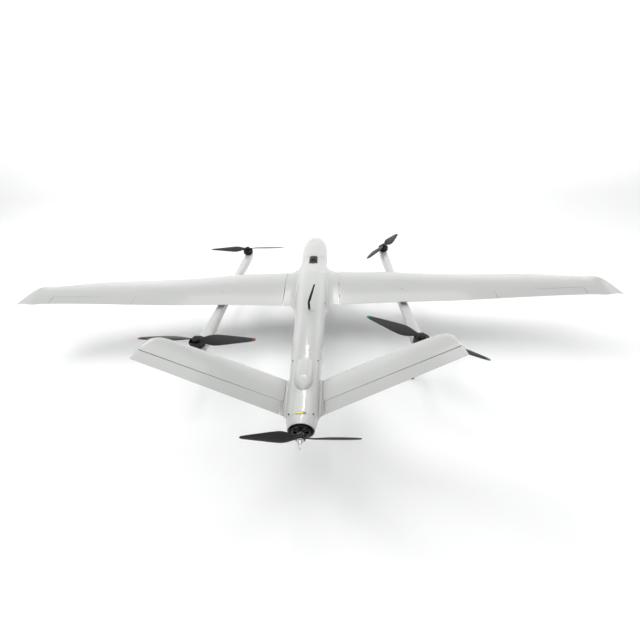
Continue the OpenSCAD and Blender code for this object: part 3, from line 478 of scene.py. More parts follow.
def build_fuselage():
    """The body from the nose seam to the tail cowl, with the wing centre and the tail roots in one skin."""
    bm = bmesh.new()
    # wing centre, right half
    outer = []
    for x in (JOINT_X - JOINT_GAP, JOINT_X - 1.5 * MM, 0.122, 0.116, 0.110, 0.104, 0.099, 0.094, 0.090,
              0.0865, 0.083):
        start, aim = wing_row(x)
        ring = leave(start, aim, 0.05)
        if len(outer) < 2:
            ring[:, 0] -= JOINT_OPENING * ease(((WING_Y - ring[:, 1]) / ROOT_CHORD - 0.5) / 0.2)
        outer.append(ring - aim * 0.35 * MM if not outer else ring)
    strip(bm, outer)
    cap = [bm.verts.new(p) for p in outer[0]]
    bm.faces.new(cap)
    inner = outer[-1]
    heart = inner.copy()
    heart[:, 0] = 0.052
    heart[:, 2] = wing_row(0.052)[0][:, 2] * 0.5 + 0.5 * 0.214
    wing_rings = collar(inner, heart, COLLAR_FRONT, COLLAR_BACK, RAY_Z)
    strip(bm, wing_rings)
    # tail roots
    outer = []
    for s in (-JOINT_GAP, -1.1 * MM, -2.5 * MM, -4 * MM):
        start, aim = stub_row(s)
        ring = leave(start, aim, 0.03)
        outer.append(ring - aim * 0.3 * MM if not outer else ring)
    strip(bm, outer)
    bm.faces.new([bm.verts.new(p) for p in outer[0]])
    inner = outer[-1]
    heart = stub_row(-16 * MM)[0]
    heart[:, 1] = inner[:, 1]
    tail_rings = collar(inner, heart, TAIL_FRONT, TAIL_BACK, RAY_Z)
    strip(bm, tail_rings)
    # plain lengths between the collars
    seam = SEAM_Y - SEAM_GAP
    for y0, y1, count in ((seam - SEAM_CHAMFER, COLLAR_FRONT, 4), (COLLAR_BACK, TAIL_FRONT, 70),
                          (TAIL_BACK, COWL_Y + 0.6 * MM, 2)):
        strip(bm, [half_ring(y) for y in np.linspace(y0, y1, count)], wrap=False)
    # seam and inner wall
    wall = [half_ring(seam - SEAM_CHAMFER), half_ring(seam - 0.35 * SEAM_CHAMFER, 0.25 * SEAM_CHAMFER),
            half_ring(seam, SEAM_CHAMFER)]
    wall += [half_ring(y, SKIN) for y in np.linspace(seam, COWL_Y, 60)]
    wall += [half_ring(COWL_Y, 0.8 * MM), half_ring(COWL_Y + 0.6 * MM)]
    strip(bm, wall, wrap=False)
    return bm


def mirror_halves(name, bm, near=6e-6):
    """Both halves of a right half that is open on the middle plane."""
    for v in bm.verts:
        if abs(v.co.x) < 2e-6:
            v.co.x = 0
    twin = bmesh.ops.duplicate(bm, geom=bm.verts[:] + bm.edges[:] + bm.faces[:])["geom"]
    for v in [g for g in twin if isinstance(g, bmesh.types.BMVert)]:
        v.co.x = -v.co.x
    bmesh.ops.remove_doubles(bm, verts=bm.verts, dist=near)
    bmesh.ops.dissolve_degenerate(bm, edges=bm.edges, dist=1e-7)
    bmesh.ops.recalc_face_normals(bm, faces=bm.faces)
    mesh = bpy.data.meshes.new(name)
    bm.to_mesh(mesh)
    bm.free()
    return link(name, mesh)


# ---------------------------------------------------------------- nose, cowl and blister
def oval(y, half, top, bottom, n, points=96, inset=0.0):
    """A closed superellipse section at y."""
    a = 2 * pi * np.arange(points) / points
    half, rise = half - inset, (top - bottom) / 2 - inset
    r = (np.abs(np.cos(a) / half) ** n + np.abs(np.sin(a) / rise) ** n) ** (-1 / n)
    return np.stack([r * np.cos(a), np.full(points, y), (top + bottom) / 2 + r * np.sin(a)], 1)


def body_oval(y, inset=0.0, points=96):
    half, top, bottom, n = (float(v) for v in body_shape(y))
    return oval(y, half, top, bottom, n, points, inset)


def nose_oval(u, inset=0.0):
    """A section of the rounded nose; u runs from 0 at its base to 1 at the tip."""
    e = (1 - u**2.1) ** (1 / 2.1)
    f = (1 - u**2.4) ** (1 / 2.4)
    _, side, top, bottom, _ = STATIONS[0]
    y = NOSE_Y - NOSE_SHARE * (1 - u) * BODY_LEN
    return oval(y, e * side * BODY_W / 2, KEEL_Z + BODY_H * (NOSE_MID + (top - NOSE_MID) * f),
                KEEL_Z + BODY_H * (NOSE_MID - (NOSE_MID - bottom) * f), 2 + 0.6 * (1 - u), inset=inset)


def build_nose():
    rear = SEAM_Y + SEAM_GAP
    base = NOSE_Y - NOSE_SHARE * BODY_LEN
    us = np.cos(np.radians(np.linspace(2.4, 90, 56)))
    skin = [nose_oval(u) for u in us]
    skin += [body_oval(y) for y in np.linspace(base, rear + SEAM_CHAMFER, 26)[1:]]
    skin += [body_oval(rear + 0.35 * SEAM_CHAMFER, 0.25 * SEAM_CHAMFER), body_oval(rear, SEAM_CHAMFER)]
    inside = [body_oval(y, SKIN) for y in np.linspace(rear, base, 24)]
    inside += [nose_oval(u * 0.985, SKIN) for u in us[::-1] if u < 0.985]
    return from_rings("nose_skin", skin + inside)


def build_lip():
    """The ring inside the seam that the nose cover slides over."""
    y0, y1, y2 = SEAM_Y - LIP_LEN, SEAM_Y - SEAM_GAP, SEAM_Y + LIP_LEN
    rings = [body_oval(SEAM_Y, inset * MM) for inset in (2.4, 2.4, 2.8, 3.1, 3.5, 5, 5.3)]
    for ring, y in zip(rings, (y0, y1, y1, y2 - 0.5 * MM, y2, y2, y2 - 0.4 * MM)):
        ring[:, 1] = y
    back = body_oval(SEAM_Y, 5.3 * MM)
    back[:, 1] = y0
    return from_rings("nose_lip", rings + [back], close=(False, False), join=1)


RIM_R = 37 * MM


def build_cowl():
    front = body_oval(COWL_Y)
    a = np.arctan2(front[:, 2] - THRUST_Z, front[:, 0])
    rim = np.stack([RIM_R * np.cos(a), np.full(len(a), RIM_Y), THRUST_Z + RIM_R * np.sin(a)], 1)
    middle = np.array([0, 0, THRUST_Z])

    def ring(t, inset):
        at = front + (rim - front) * t
        out = at - middle
        out[:, 1] = 0
        return at - unit(out) * inset

    edge = 0.045
    steps = [(0.0, SEAM_CHAMFER), (0.35 * edge, 0.3 * MM), (edge, 0)]
    steps += [(t, 0) for t in np.linspace(edge, 0.965, 14)[1:]]
    steps += [(0.988, 0.3 * MM), (1.0, 1.0 * MM), (1.0, SKIN - 0.7 * MM), (0.975, SKIN)]
    steps += [(t, SKIN) for t in np.linspace(0.975, 0, 12)[1:]]
    return from_rings("cowl_skin", [ring(*s) for s in steps], close=(False, False), join=1)


BLISTER_Y = NOSE_Y - 1.211
BLISTER_LEN = 127 * MM
BLISTER_W = 54 * MM
# share of the length, width share, rise over the skin
BLISTER = [(0, 0.55, 0.6), (0.06, 0.82, 2.5), (0.18, 0.93, 6), (0.45, 1, 11), (0.68, 1, 14),
           (0.82, 0.92, 12.5), (0.93, 0.66, 7), (1, 0.3, 1.2)]


def build_blister():
    """A raised cover with a soft ridge down its rear slope and a thin flange round its foot."""
    across = np.linspace(-1, 1, 61)
    rings = []
    for t in np.concatenate([np.linspace(0, 0.7, 36), np.linspace(0.7, 1, 34)[1:]]):
        y = BLISTER_Y - t * BLISTER_LEN
        half = smooth(BLISTER, t, 1) * BLISTER_W / 2
        rise = smooth(BLISTER, t, 2) * MM
        x = across * half
        ridge = 1.2 * MM * ease((t - 0.66) / 0.12) * ease((1 - t) / 0.1) * np.exp(-((x / (5 * MM)) ** 2))
        dome = (1 - np.abs(across) ** 3.2) ** (1 / 2.4)
        base = skin_z(x, y)
        top = np.stack([x, np.full(61, y), base + 0.25 * MM + (rise - 0.25 * MM) * dome - ridge], 1)
        low = np.stack([x, np.full(61, y), base + 0.05 * MM], 1)[::-1]
        rings.append(np.concatenate([top, low]))
    return from_rings("blister_cover", rings)


# ---------------------------------------------------------------- wing
TRAIL_EDGE = 0.6 * MM
AILERON_X = (791 * MM, 1146 * MM)
AILERON_CHORD, AILERON_TAPER = 47 * MM, 6 * MM
# radius of the hollow from the upper skin round to the lower, and of the surface that turns in it
COVE_R, SURFACE_NOSE_R = (5.6 * MM, 7 * MM, 7 * MM, 7 * MM), [4.9 * MM]


def wing_point(x, c, sign):
    """A point of the wing's skin at x; c runs from 0 at the leading edge to 1 at the trailing edge."""
    lead, trail = wing_edges(x)
    chord = trail - lead
    t = np.clip((x - (HALF_SPAN - TIP_LEN)) / TIP_LEN, 0, 1)
    end = np.clip((x - (HALF_SPAN - 7 * MM)) / (7 * MM), 0, 0.998)
    half = (half_thickness(c) * (WING_THICK - 0.02 * t) * chord + TRAIL_EDGE * c) * np.sqrt(1 - end**2)
    z = wing_lift(x) + INCIDENCE * chord * (1 - c) + 4 * CAMBER * chord * c * (1 - c) + sign * half
    return np.stack([np.full_like(c, x), WING_Y - lead - chord * c, z], -1)


def aileron_line(x):
    """Hinge line of the aileron at x: y and z."""
    share = np.clip((x - AILERON_X[0]) / (AILERON_X[1] - AILERON_X[0]), 0, 1)
    ends = []
    for e in (0.0, 1.0):
        at = AILERON_X[0] + (AILERON_X[1] - AILERON_X[0]) * e
        lead, trail = wing_edges(at)
        back = AILERON_CHORD - AILERON_TAPER * e
        ends.append((WING_Y - trail + back, WING_Z + WING_RISE * (at - JOINT_X) + INCIDENCE * back
                     + 4 * CAMBER * back * (1 - back / (trail - lead))))
    (y0, z0), (y1, z1) = ends
    return y0 + (y1 - y0) * share, z0 + (z1 - z0) * share


def cut_share(x, line, point, radius):
    """Where on the chord a circle round the hinge line meets the upper and lower skin, in front of it."""
    y, z = line(x)
    found = []
    for sign, reach in ((1, radius[0]), (-1, radius[-1])):
        c = np.linspace(0.02, 0.98, 400)
        p = point(x, c, sign)
        away = np.hypot(p[:, 1] - y, p[:, 2] - z)
        front = (p[:, 1] > y) & (away > reach)
        found.append(float(c[front].max()) if front.any() else 0.02)
    return found


def arc(x, line, high, low, radius, steps):
    """Points on the circle round the hinge line, from the upper point down its front to the lower."""
    y, z = line(x)
    a0, a1 = atan2(high[2] - z, high[1] - y), atan2(low[2] - z, low[1] - y)
    a = np.linspace(a0, a1, steps)
    r = np.interp(np.linspace(0, 1, steps), np.linspace(0, 1, len(radius)), radius)
    return np.stack([np.full(steps, high[0]), y + r * np.cos(a), z + r * np.sin(a)], 1)


def panel_ring(x, line, point, radius, truncated, front=44, rear=12):
    """A wing section whose rear part is either skin or the hollow that a control surface turns in."""
    up, down = cut_share(x, line, point, radius)
    f = 1 - np.cos(pi / 2 * np.arange(1, front + 1) / front)
    g = np.arange(1, rear + 1) / rear
    top_front, low_front = point(x, up * f, 1), point(x, down * f, -1)
    if truncated:
        hollow = arc(x, line, top_front[-1], low_front[-1], radius, 2 * rear + 2)[1:-1]
        top_rear, low_rear = hollow[:rear][::-1], hollow[rear:][::-1]
        return np.concatenate([top_rear, top_front[::-1], point(x, np.zeros(1), 1), low_front, low_rear])
    top_rear, low_rear = point(x, up + (1 - up) * g, 1), point(x, down + (1 - down) * g, -1)
    return np.concatenate([top_rear[::-1], top_front[::-1], point(x, np.zeros(1), 1), low_front, low_rear])


def surface_ring(x, line, point, radius, skin=26, nose=18):
    """A section of a control surface, with a round nose about its hinge line."""
    up, down = cut_share(x, line, point, radius)
    f = np.linspace(1, 0, skin)
    top = point(x, up + (1 - up) * f, 1)
    low = point(x, down + (1 - down) * f[::-1], -1)
    return np.concatenate([top, arc(x, line, top[-1], low[0], radius, nose)[1:-1], low])


def shrunk(ring, by):
    """The same section a little smaller, for a softened end."""
    middle = ring.mean(0)
    out = ring - middle
    return ring - unit(out) * np.minimum(by, 0.4 * np.linalg.norm(out, axis=1, keepdims=True))


def build_wing():
    """The right outer panel."""
    a0, a1 = AILERON_X[0] - 2 * MM, AILERON_X[1] + 2 * MM
    root = JOINT_X + JOINT_GAP
    args = (aileron_line, wing_point, COVE_R)
    first = panel_ring(root, *args, False)
    rings = [shrunk(first, 0.35 * MM), panel_ring(root + 0.5 * MM, *args, False)]
    rings += [panel_ring(x, *args, False) for x in np.linspace(root + 1.2 * MM, a0, 60)]
    rings += [panel_ring(x, *args, True) for x in np.linspace(a0, a1, 36)]
    rings += [panel_ring(x, *args, False) for x in np.linspace(a1, HALF_SPAN - TIP_LEN, 10)]
    near = HALF_SPAN - TIP_LEN + TIP_LEN * np.sin(np.radians(np.linspace(0, 90, 34)[1:]))
    rings += [panel_ring(x, *args, False) for x in near]
    return from_rings("wing_skin", rings)


def build_aileron():
    args = (aileron_line, wing_point, SURFACE_NOSE_R)
    xs = np.linspace(AILERON_X[0] + 0.5 * MM, AILERON_X[1] - 0.5 * MM, 34)
    rings = [surface_ring(x, *args) for x in xs]
    first, last = rings[0].copy(), rings[-1].copy()
    first[:, 0] -= 0.5 * MM
    last[:, 0] += 0.5 * MM
    return from_rings("aileron_skin", [shrunk(first, 0.4 * MM)] + rings + [shrunk(last, 0.4 * MM)])


# ---------------------------------------------------------------- tail
RUDDER_CHORD = 40 * MM
TAIL_COVE_R = [5.2 * MM]
TAIL_TE = TAIL_Y - TAIL_CHORD
RUDDER_S = 6 * MM


def tail_point(s, c, sign):
    """A point of the tail's skin in the slope's own axes: along it, y, and across it."""
    lead = smooth(TAIL_TABLE, s / TAIL_SPAN, 1) * MM
    chord = TAIL_CHORD - lead
    end = np.clip((s - (TAIL_SPAN - 5 * MM)) / (5 * MM), 0, 0.998)
    half = (half_thickness(c) * TAIL_THICK * chord + TRAIL_EDGE * c) * np.sqrt(1 - end**2)
    return np.stack([np.full_like(c, s), TAIL_Y - lead - chord * c, sign * half], -1)


def rudder_line(s):
    return TAIL_TE + RUDDER_CHORD - 12 * MM * s / TAIL_SPAN, 0.0


def onto_tail(ring):
    s, w = ring[:, 0], ring[:, 2]
    return np.stack([TAIL_X + s * cos(TAIL_SLOPE) - w * sin(TAIL_SLOPE), ring[:, 1],
                     TAIL_Z + s * sin(TAIL_SLOPE) + w * cos(TAIL_SLOPE)], 1)


def build_tail_panel():
    args = (rudder_line, tail_point, TAIL_COVE_R)
    start, cut = JOINT_GAP, RUDDER_S - 2 * MM
    rings = [shrunk(panel_ring(start, *args, False), 0.3 * MM)]
    rings += [panel_ring(s, *args, False) for s in np.linspace(start + 0.5 * MM, cut, 4)]
    last = TAIL_SPAN * 0.9925
    ss = np.concatenate([np.linspace(cut, 0.9 * TAIL_SPAN, 40), np.linspace(0.9 * TAIL_SPAN, last, 18)[1:]])
    rings += [panel_ring(s, *args, True) for s in ss]
    return from_rings("tail_skin", [onto_tail(r) for r in rings + [shrunk(rings[-1], 0.3 * MM)]])


def build_ruddervator():
    def ring(s):
        y, _ = rudder_line(s)
        upper = tail_point(s, np.linspace(1, 0.02, 60), 1)
        half = float(np.interp(y, upper[:, 1], upper[:, 2]))
        return surface_ring(s, rudder_line, tail_point, [max(half * 1.001, 0.8 * MM)])

    ss = np.concatenate([np.linspace(RUDDER_S + 0.5 * MM, 0.9 * TAIL_SPAN, 30),
                         TAIL_SPAN * (0.9 + 0.1 * np.sin(np.radians(np.linspace(0, 90, 16)[1:])))])
    rings = [ring(s) for s in ss]
    first = rings[0].copy()
    first[:, 0] -= 0.5 * MM
    return from_rings("ruddervator_skin", [onto_tail(r) for r in [shrunk(first, 0.3 * MM)] + rings])


# ---------------------------------------------------------------- turned and extruded pieces
def round_ring(a, r, z):
    """Points at the angles a round local Z; r may change from point to point."""
    return np.stack([r * np.cos(a), r * np.sin(a), np.full(len(a), z)], 1)


def hexagon(a, flat):
    """Distance from the middle of a hexagon to its edge at the angles a."""
    return flat / np.cos((a % (pi / 3)) - pi / 6)


def lathe(name, profile, place=Matrix.Identity(4), around=96, sharp=30):
    """A body of revolution about local Z from a closed outline of radius and height, in metres."""
    a = 2 * pi * np.arange(around) / around
    rings = [round_ring(a, r, z) for r, z in profile]
    piece = from_rings(name, rings, close=(False, False), join=1, sharp=sharp)
    piece.data.transform(place)
    return piece


def turned(radius, z0, z1, edge, bore=0.0, steps=4):
    """Outline of a disc or a tube whose rims are rounded."""
    q = np.radians(np.linspace(0, 90, steps + 1))
    low = [(radius - edge + edge * sin(a), z0 + edge - edge * cos(a)) for a in q]
    high = [(radius - edge + edge * cos(a), z1 - edge + edge * sin(a)) for a in q]
    inside = max(bore, 1e-6)
    return [(inside, z0)] + low + high + [(inside, z1)]


def block(name, low, high, edge, place=Matrix.Identity(4), segments=3):
    """A box with rounded edges."""
    bm = bmesh.new()
    bmesh.ops.create_cube(bm, size=1)
    low, high = Vector(low), Vector(high)
    for v in bm.verts:
        v.co = Vector((high[i] if v.co[i] > 0 else low[i]) for i in range(3))
    bmesh.ops.bevel(bm, geom=bm.edges[:], offset=edge, segments=segments, profile=0.5, affect="EDGES")
    mesh = bpy.data.meshes.new(name)
    bm.to_mesh(mesh)
    bm.free()
    mesh.transform(place)
    return link(name, mesh)


def refined(node, edge=0.25 * MM, segments=2, sharp=30):
    """The CAD node itself with its flat stretches merged and its sharp edges rounded."""
    mesh = frame["nodes"][node].data.copy()
    mesh.name = node + "_fine"
    obj = bpy.data.objects.new(node + "_fine", mesh)
    bpy.context.collection.objects.link(obj)
    bm = bmesh.new()
    bm.from_mesh(mesh)
    bmesh.ops.remove_doubles(bm, verts=bm.verts, dist=2e-6)
    bmesh.ops.dissolve_limit(bm, angle_limit=radians(1.0), verts=bm.verts, edges=bm.edges)
    bm.to_mesh(mesh)
    bm.free()
    if edge:
        bevel = obj.modifiers.new("edges", "BEVEL")
        bevel.width, bevel.segments, bevel.limit_method = edge, segments, "ANGLE"
        bevel.angle_limit = radians(35)
        bevel.use_clamp_overlap = True
        mesh = bpy.data.meshes.new_from_object(obj.evaluated_get(bpy.context.evaluated_depsgraph_get()))
        obj.modifiers.clear()
        obj.data = mesh
    obj.data.shade_smooth()
    obj.data.set_sharp_from_angle(angle=radians(sharp))
    obj.data.materials.clear()
    return obj


# ---------------------------------------------------------------- repeated pieces, by Geometry Nodes
def node_input(tree, name, kind, default=None, low=None):
    socket = tree.interface.new_socket(name=name, in_out="INPUT", socket_type=kind)
    if default is not None:
        socket.default_value = default
    if low is not None:
        socket.min_value = low
    return socket.identifier


def geometry_tree(name, **inputs):
    """An empty tree with the named inputs, and the identifier of each input."""
    tree = bpy.data.node_groups.new(name, "GeometryNodeTree")
    kinds = {"Geometry": ("Geometry",), **inputs, "Material": ("Material",)}
    ids = {}
    for key, (kind, *limits) in kinds.items():
        label = key.replace("_", " ")
        ids[label] = node_input(tree, label, "NodeSocket" + kind, *limits)
    tree.interface.new_socket(name="Geometry", in_out="OUTPUT", socket_type="NodeSocketGeometry")
    start, end = tree.nodes.new("NodeGroupInput"), tree.nodes.new("NodeGroupOutput")
    return tree, ids, start, end


def ring_tree():
    """Copies of a piece round the Z axis, each turned to face outward."""
    tree, ids, start, end = geometry_tree("ring_of_pieces", Piece=("Object",), Count=("Int", 8, 1),
                                          Radius=("Float", 0.01, 0.0), First_turn=("Float", 0.0))
    new, join = tree.nodes.new, tree.links.new
    line = new("GeometryNodeMeshLine")
    join(start.outputs["Count"], line.inputs["Count"])
    index = new("GeometryNodeInputIndex")
    step = new("ShaderNodeMath")
    step.operation = "DIVIDE"
    step.inputs[0].default_value = 2 * pi
    join(start.outputs["Count"], step.inputs[1])
    angle = new("ShaderNodeMath")
    angle.operation = "MULTIPLY_ADD"
    join(index.outputs[0], angle.inputs[0])
    join(step.outputs[0], angle.inputs[1])
    join(start.outputs["First turn"], angle.inputs[2])
    spin = new("ShaderNodeCombineXYZ")
    join(angle.outputs[0], spin.inputs["Z"])
    arm = new("ShaderNodeCombineXYZ")
    join(start.outputs["Radius"], arm.inputs["X"])
    turn = new("ShaderNodeVectorRotate")
    turn.rotation_type = "Z_AXIS"
    join(arm.outputs[0], turn.inputs["Vector"])
    join(angle.outputs[0], turn.inputs["Angle"])
    place = new("GeometryNodeSetPosition")
    join(line.outputs[0], place.inputs["Geometry"])
    join(turn.outputs[0], place.inputs["Position"])
    piece = new("GeometryNodeObjectInfo")
    join(start.outputs["Piece"], piece.inputs["Object"])
    copies = new("GeometryNodeInstanceOnPoints")
    join(place.outputs[0], copies.inputs["Points"])
    join(piece.outputs["Geometry"], copies.inputs["Instance"])
    join(spin.outputs[0], copies.inputs["Rotation"])
    finish_tree(tree, copies, start, end)
    return tree, ids


def finish_tree(tree, copies, start, end):
    real = tree.nodes.new("GeometryNodeRealizeInstances")
    paint = tree.nodes.new("GeometryNodeSetMaterial")
    tree.links.new(copies.outputs[0], real.inputs[0])
    tree.links.new(real.outputs[0], paint.inputs["Geometry"])
    tree.links.new(start.outputs["Material"], paint.inputs["Material"])
    tree.links.new(paint.outputs[0], end.inputs[0])


def scatter_tree():
    """A screw on each point of a mesh, each with its own turn."""
    tree, ids, start, end = geometry_tree("screws_on_points", Screw=("Object",), Size=("Float", 1.0, 0.0),
                                          Seed=("Int", 3, 0))
    new, join = tree.nodes.new, tree.links.new
    chance = new("FunctionNodeRandomValue")
    chance.data_type = "FLOAT"
    chance.inputs[3].default_value = 2 * pi
    join(start.outputs["Seed"], chance.inputs["Seed"])
    spin = new("ShaderNodeCombineXYZ")
    join(chance.outputs[1], spin.inputs["Z"])
    piece = new("GeometryNodeObjectInfo")
    join(start.outputs["Screw"], piece.inputs["Object"])
    copies = new("GeometryNodeInstanceOnPoints")
    join(start.outputs["Geometry"], copies.inputs["Points"])
    join(piece.outputs["Geometry"], copies.inputs["Instance"])
    join(spin.outputs[0], copies.inputs["Rotation"])
    join(start.outputs["Size"], copies.inputs["Scale"])
    finish_tree(tree, copies, start, end)
    return tree, ids


def row_tree():
    """Copies of a piece in a straight row."""
    tree, ids, start, end = geometry_tree("row_of_pieces", Piece=("Object",), Count=("Int", 4, 1),
                                          Step=("Vector",))
    new, join = tree.nodes.new, tree.links.new
    line = new("GeometryNodeMeshLine")
    join(start.outputs["Count"], line.inputs["Count"])
    join(start.outputs["Step"], line.inputs["Offset"])
    piece = new("GeometryNodeObjectInfo")
    join(start.outputs["Piece"], piece.inputs["Object"])
    copies = new("GeometryNodeInstanceOnPoints")
    join(line.outputs[0], copies.inputs["Points"])
    join(piece.outputs["Geometry"], copies.inputs["Instance"])
    finish_tree(tree, copies, start, end)
    return tree, ids


def grown(name, tree_and_ids, place=Matrix.Identity(4), points=None, **values):
    """The plain mesh that a tree makes from its named inputs."""
    tree, ids = tree_and_ids
    host_mesh = bpy.data.meshes.new(name + "_points")
    if points is not None:
        host_mesh.from_pydata([tuple(p) for p in points], [], [])
    host = bpy.data.objects.new(name + "_host", host_mesh)
    bpy.context.collection.objects.link(host)
    maker = host.modifiers.new("maker", "NODES")
    maker.node_group = tree
    for key, value in values.items():
        maker[ids[key.replace("_", " ")]] = value
    host.update_tag()
    bpy.context.view_layer.update()
    mesh = bpy.data.meshes.new_from_object(host.evaluated_get(bpy.context.evaluated_depsgraph_get()))
    bpy.data.objects.remove(host)
    mesh.name = name
    mesh.transform(place)
    if place.determinant() < 0:
        mesh.flip_normals()
    obj = bpy.data.objects.new(name, mesh)
    bpy.context.collection.objects.link(obj)
    return obj


def drop(*pieces):
    for piece in pieces:
        bpy.data.objects.remove(piece)


# ---------------------------------------------------------------- booms
BOOM_H = 36 * MM
BOOM_W, BOOM_END_W = 34 * MM, 46 * MM


def build_boom():
    """The right boom, which flares towards both motors, and the pad between it and the wing."""
    width = [(REAR_Y - 18 * MM, 46), (REAR_Y + 55 * MM, 46), (WING_Y - ROOT_CHORD + 10 * MM, 34),
             (WING_Y + 5 * MM, 34), (FRONT_Y - 55 * MM, 46), (FRONT_Y + 18 * MM, 46)]
    rings = []
    ends = 10 * MM
    qs = np.sin(np.radians(np.linspace(90, 0, 14)))
    y_low, y_high = REAR_Y - 18 * MM, FRONT_Y + 18 * MM
    ys = np.concatenate([y_low + ends * (1 - qs), np.linspace(y_low + ends, y_high - ends, 90)[1:-1],
                         y_high - ends * (1 - qs[::-1])])
    for y in ys:
        q = max(0.0, 1 - min(y - y_low, y_high - y) / ends)
        round_off = sqrt(max(1 - q**2, 0.0))
        half = float(smooth(width, y)) * MM / 2 * (0.72 + 0.28 * round_off)
        drop_by = 6 * MM * (1 - round_off)
        rings.append(oval(y, half, BOOM_TOP - drop_by, BOOM_TOP - BOOM_H + drop_by, 4, 72) + [BOOM_X, 0, 0])
    tube = from_rings("boom_tube", rings)
    pads = []
    for y in np.linspace(WING_Y - 245 * MM, WING_Y - 30 * MM, 40):
        lead, trail = wing_edges(BOOM_X)
        c = np.array([max((WING_Y - lead - y) / (trail - lead), 0.015)])
        roof = float(wing_point(BOOM_X - 14 * MM, c, -1)[0, 2]) - 0.2 * MM
        low, half, r = BOOM_TOP - 5 * MM, 14 * MM, 1 * MM
        pads.append([(BOOM_X + x, y, z) for x, z in ((half, low), (half, roof), (-half, roof), (-half, low))])
    pad = from_rings("boom_pad", pads)
    return join_pieces("boom_skin", [tube, pad])


# ---------------------------------------------------------------- motors
LIFT_D, LIFT_H = 56 * MM, 27 * MM


def build_bell(name, radius, z0, z1, hub, spokes, ring, material, shaft):
    """A motor bell: rim, spokes round an open face, hub and shaft. Local Z is up."""
    wall = 2.4 * MM
    face = 2.6 * MM
    q = np.radians(np.linspace(0, 90, 6))
    r = 2.0 * MM
    rim = [(radius - wall, z0), (radius - 0.3 * MM, z0), (radius, z0 + 0.3 * MM)]
    rim += [(radius, z0 + (z1 - z0) * 0.42), (radius - 0.25 * MM, z0 + (z1 - z0) * 0.44)]
    rim += [(radius - 0.25 * MM, z0 + (z1 - z0) * 0.47), (radius, z0 + (z1 - z0) * 0.49)]
    rim += [(radius - r + r * cos(a), z1 - r + r * sin(a)) for a in q]
    rim += [(radius * 0.8, z1), (radius * 0.8 - 0.3 * MM, z1 - 0.3 * MM), (radius * 0.8, z1 - face),
            (radius - wall, z1 - face - 1 * MM)]
    pieces = [lathe(name + "_rim", rim)]
    core = [(1e-6, z1 - 6 * MM), (shaft, z1 - 6 * MM), (hub * 0.9, z1 - face), (hub, z1 - face + 0.2 * MM),
            (hub, z1 - 0.3 * MM), (hub - 0.3 * MM, z1), (hub * 0.9, z1 + 0.2 * MM),
            (hub * 0.86, z1 + 1.7 * MM), (hub * 0.82, z1 + 2 * MM), (1e-6, z1 + 2 * MM)]
    pieces.append(lathe(name + "_hub", core))
    pieces.append(lathe(name + "_shaft", turned(shaft, z0 - 2 * MM, z1 - 5 * MM, 0.3 * MM)))
    arm = block(name + "_arm", (-(radius * 0.82 - hub) / 2 - 0.6 * MM, -radius * 0.075, z1 - face + 0.2 * MM),
                ((radius * 0.82 - hub) / 2 + 0.6 * MM, radius * 0.075, z1 - 0.15 * MM), 0.5 * MM)
    arms = grown(name + "_arms", ring, Piece=arm, Count=spokes, Radius=(radius * 0.82 + hub) / 2,
                 First_turn=0.2, Material=material)
    drop(arm)
    return join_pieces(name, pieces + [arms])


def build_windings(name, radius, z0, z1, count, ring, copper, iron):
    """Laminated teeth with a copper coil round each, seen between the spokes."""
    depth = radius * 0.42
    tooth = block(name + "_tooth", (-depth / 2, -radius * 0.09, z0 + 1.5 * MM),
                  (depth / 2 + 1.2 * MM, radius * 0.09, z1 - 1.5 * MM), 0.4 * MM)
    coil = block(name + "_coil", (-depth / 2 + 1 * MM, -radius * 0.17, z0),
                 (depth / 2 - 1 * MM, radius * 0.17, z1), 1.4 * MM)
    teeth = grown(name + "_teeth", ring, Piece=tooth, Count=count, Radius=radius - depth / 2 - 1.4 * MM,
                  First_turn=0.1, Material=iron)
    coils = grown(name + "_coils", ring, Piece=coil, Count=count, Radius=radius - depth / 2 - 1.4 * MM,
                  First_turn=0.1, Material=copper)
    core = lathe(name + "_core", turned(radius * 0.56, z0 + 1 * MM, z1 - 1 * MM, 0.4 * MM, 4 * MM))
    core.data.materials.append(iron)
    drop(tooth, coil)
    return [teeth, coils, core]


# ---------------------------------------------------------------- propellers
# share of the radius, chord as a share of the diameter, pitch in degrees
BLADES = [(0.05, 0.030, 24), (0.12, 0.046, 26), (0.22, 0.084, 25), (0.34, 0.104, 21), (0.48, 0.098, 16),
          (0.64, 0.080, 12.5), (0.80, 0.060, 10), (0.92, 0.042, 8.5), (0.985, 0.026, 8), (1.0, 0.010, 8)]


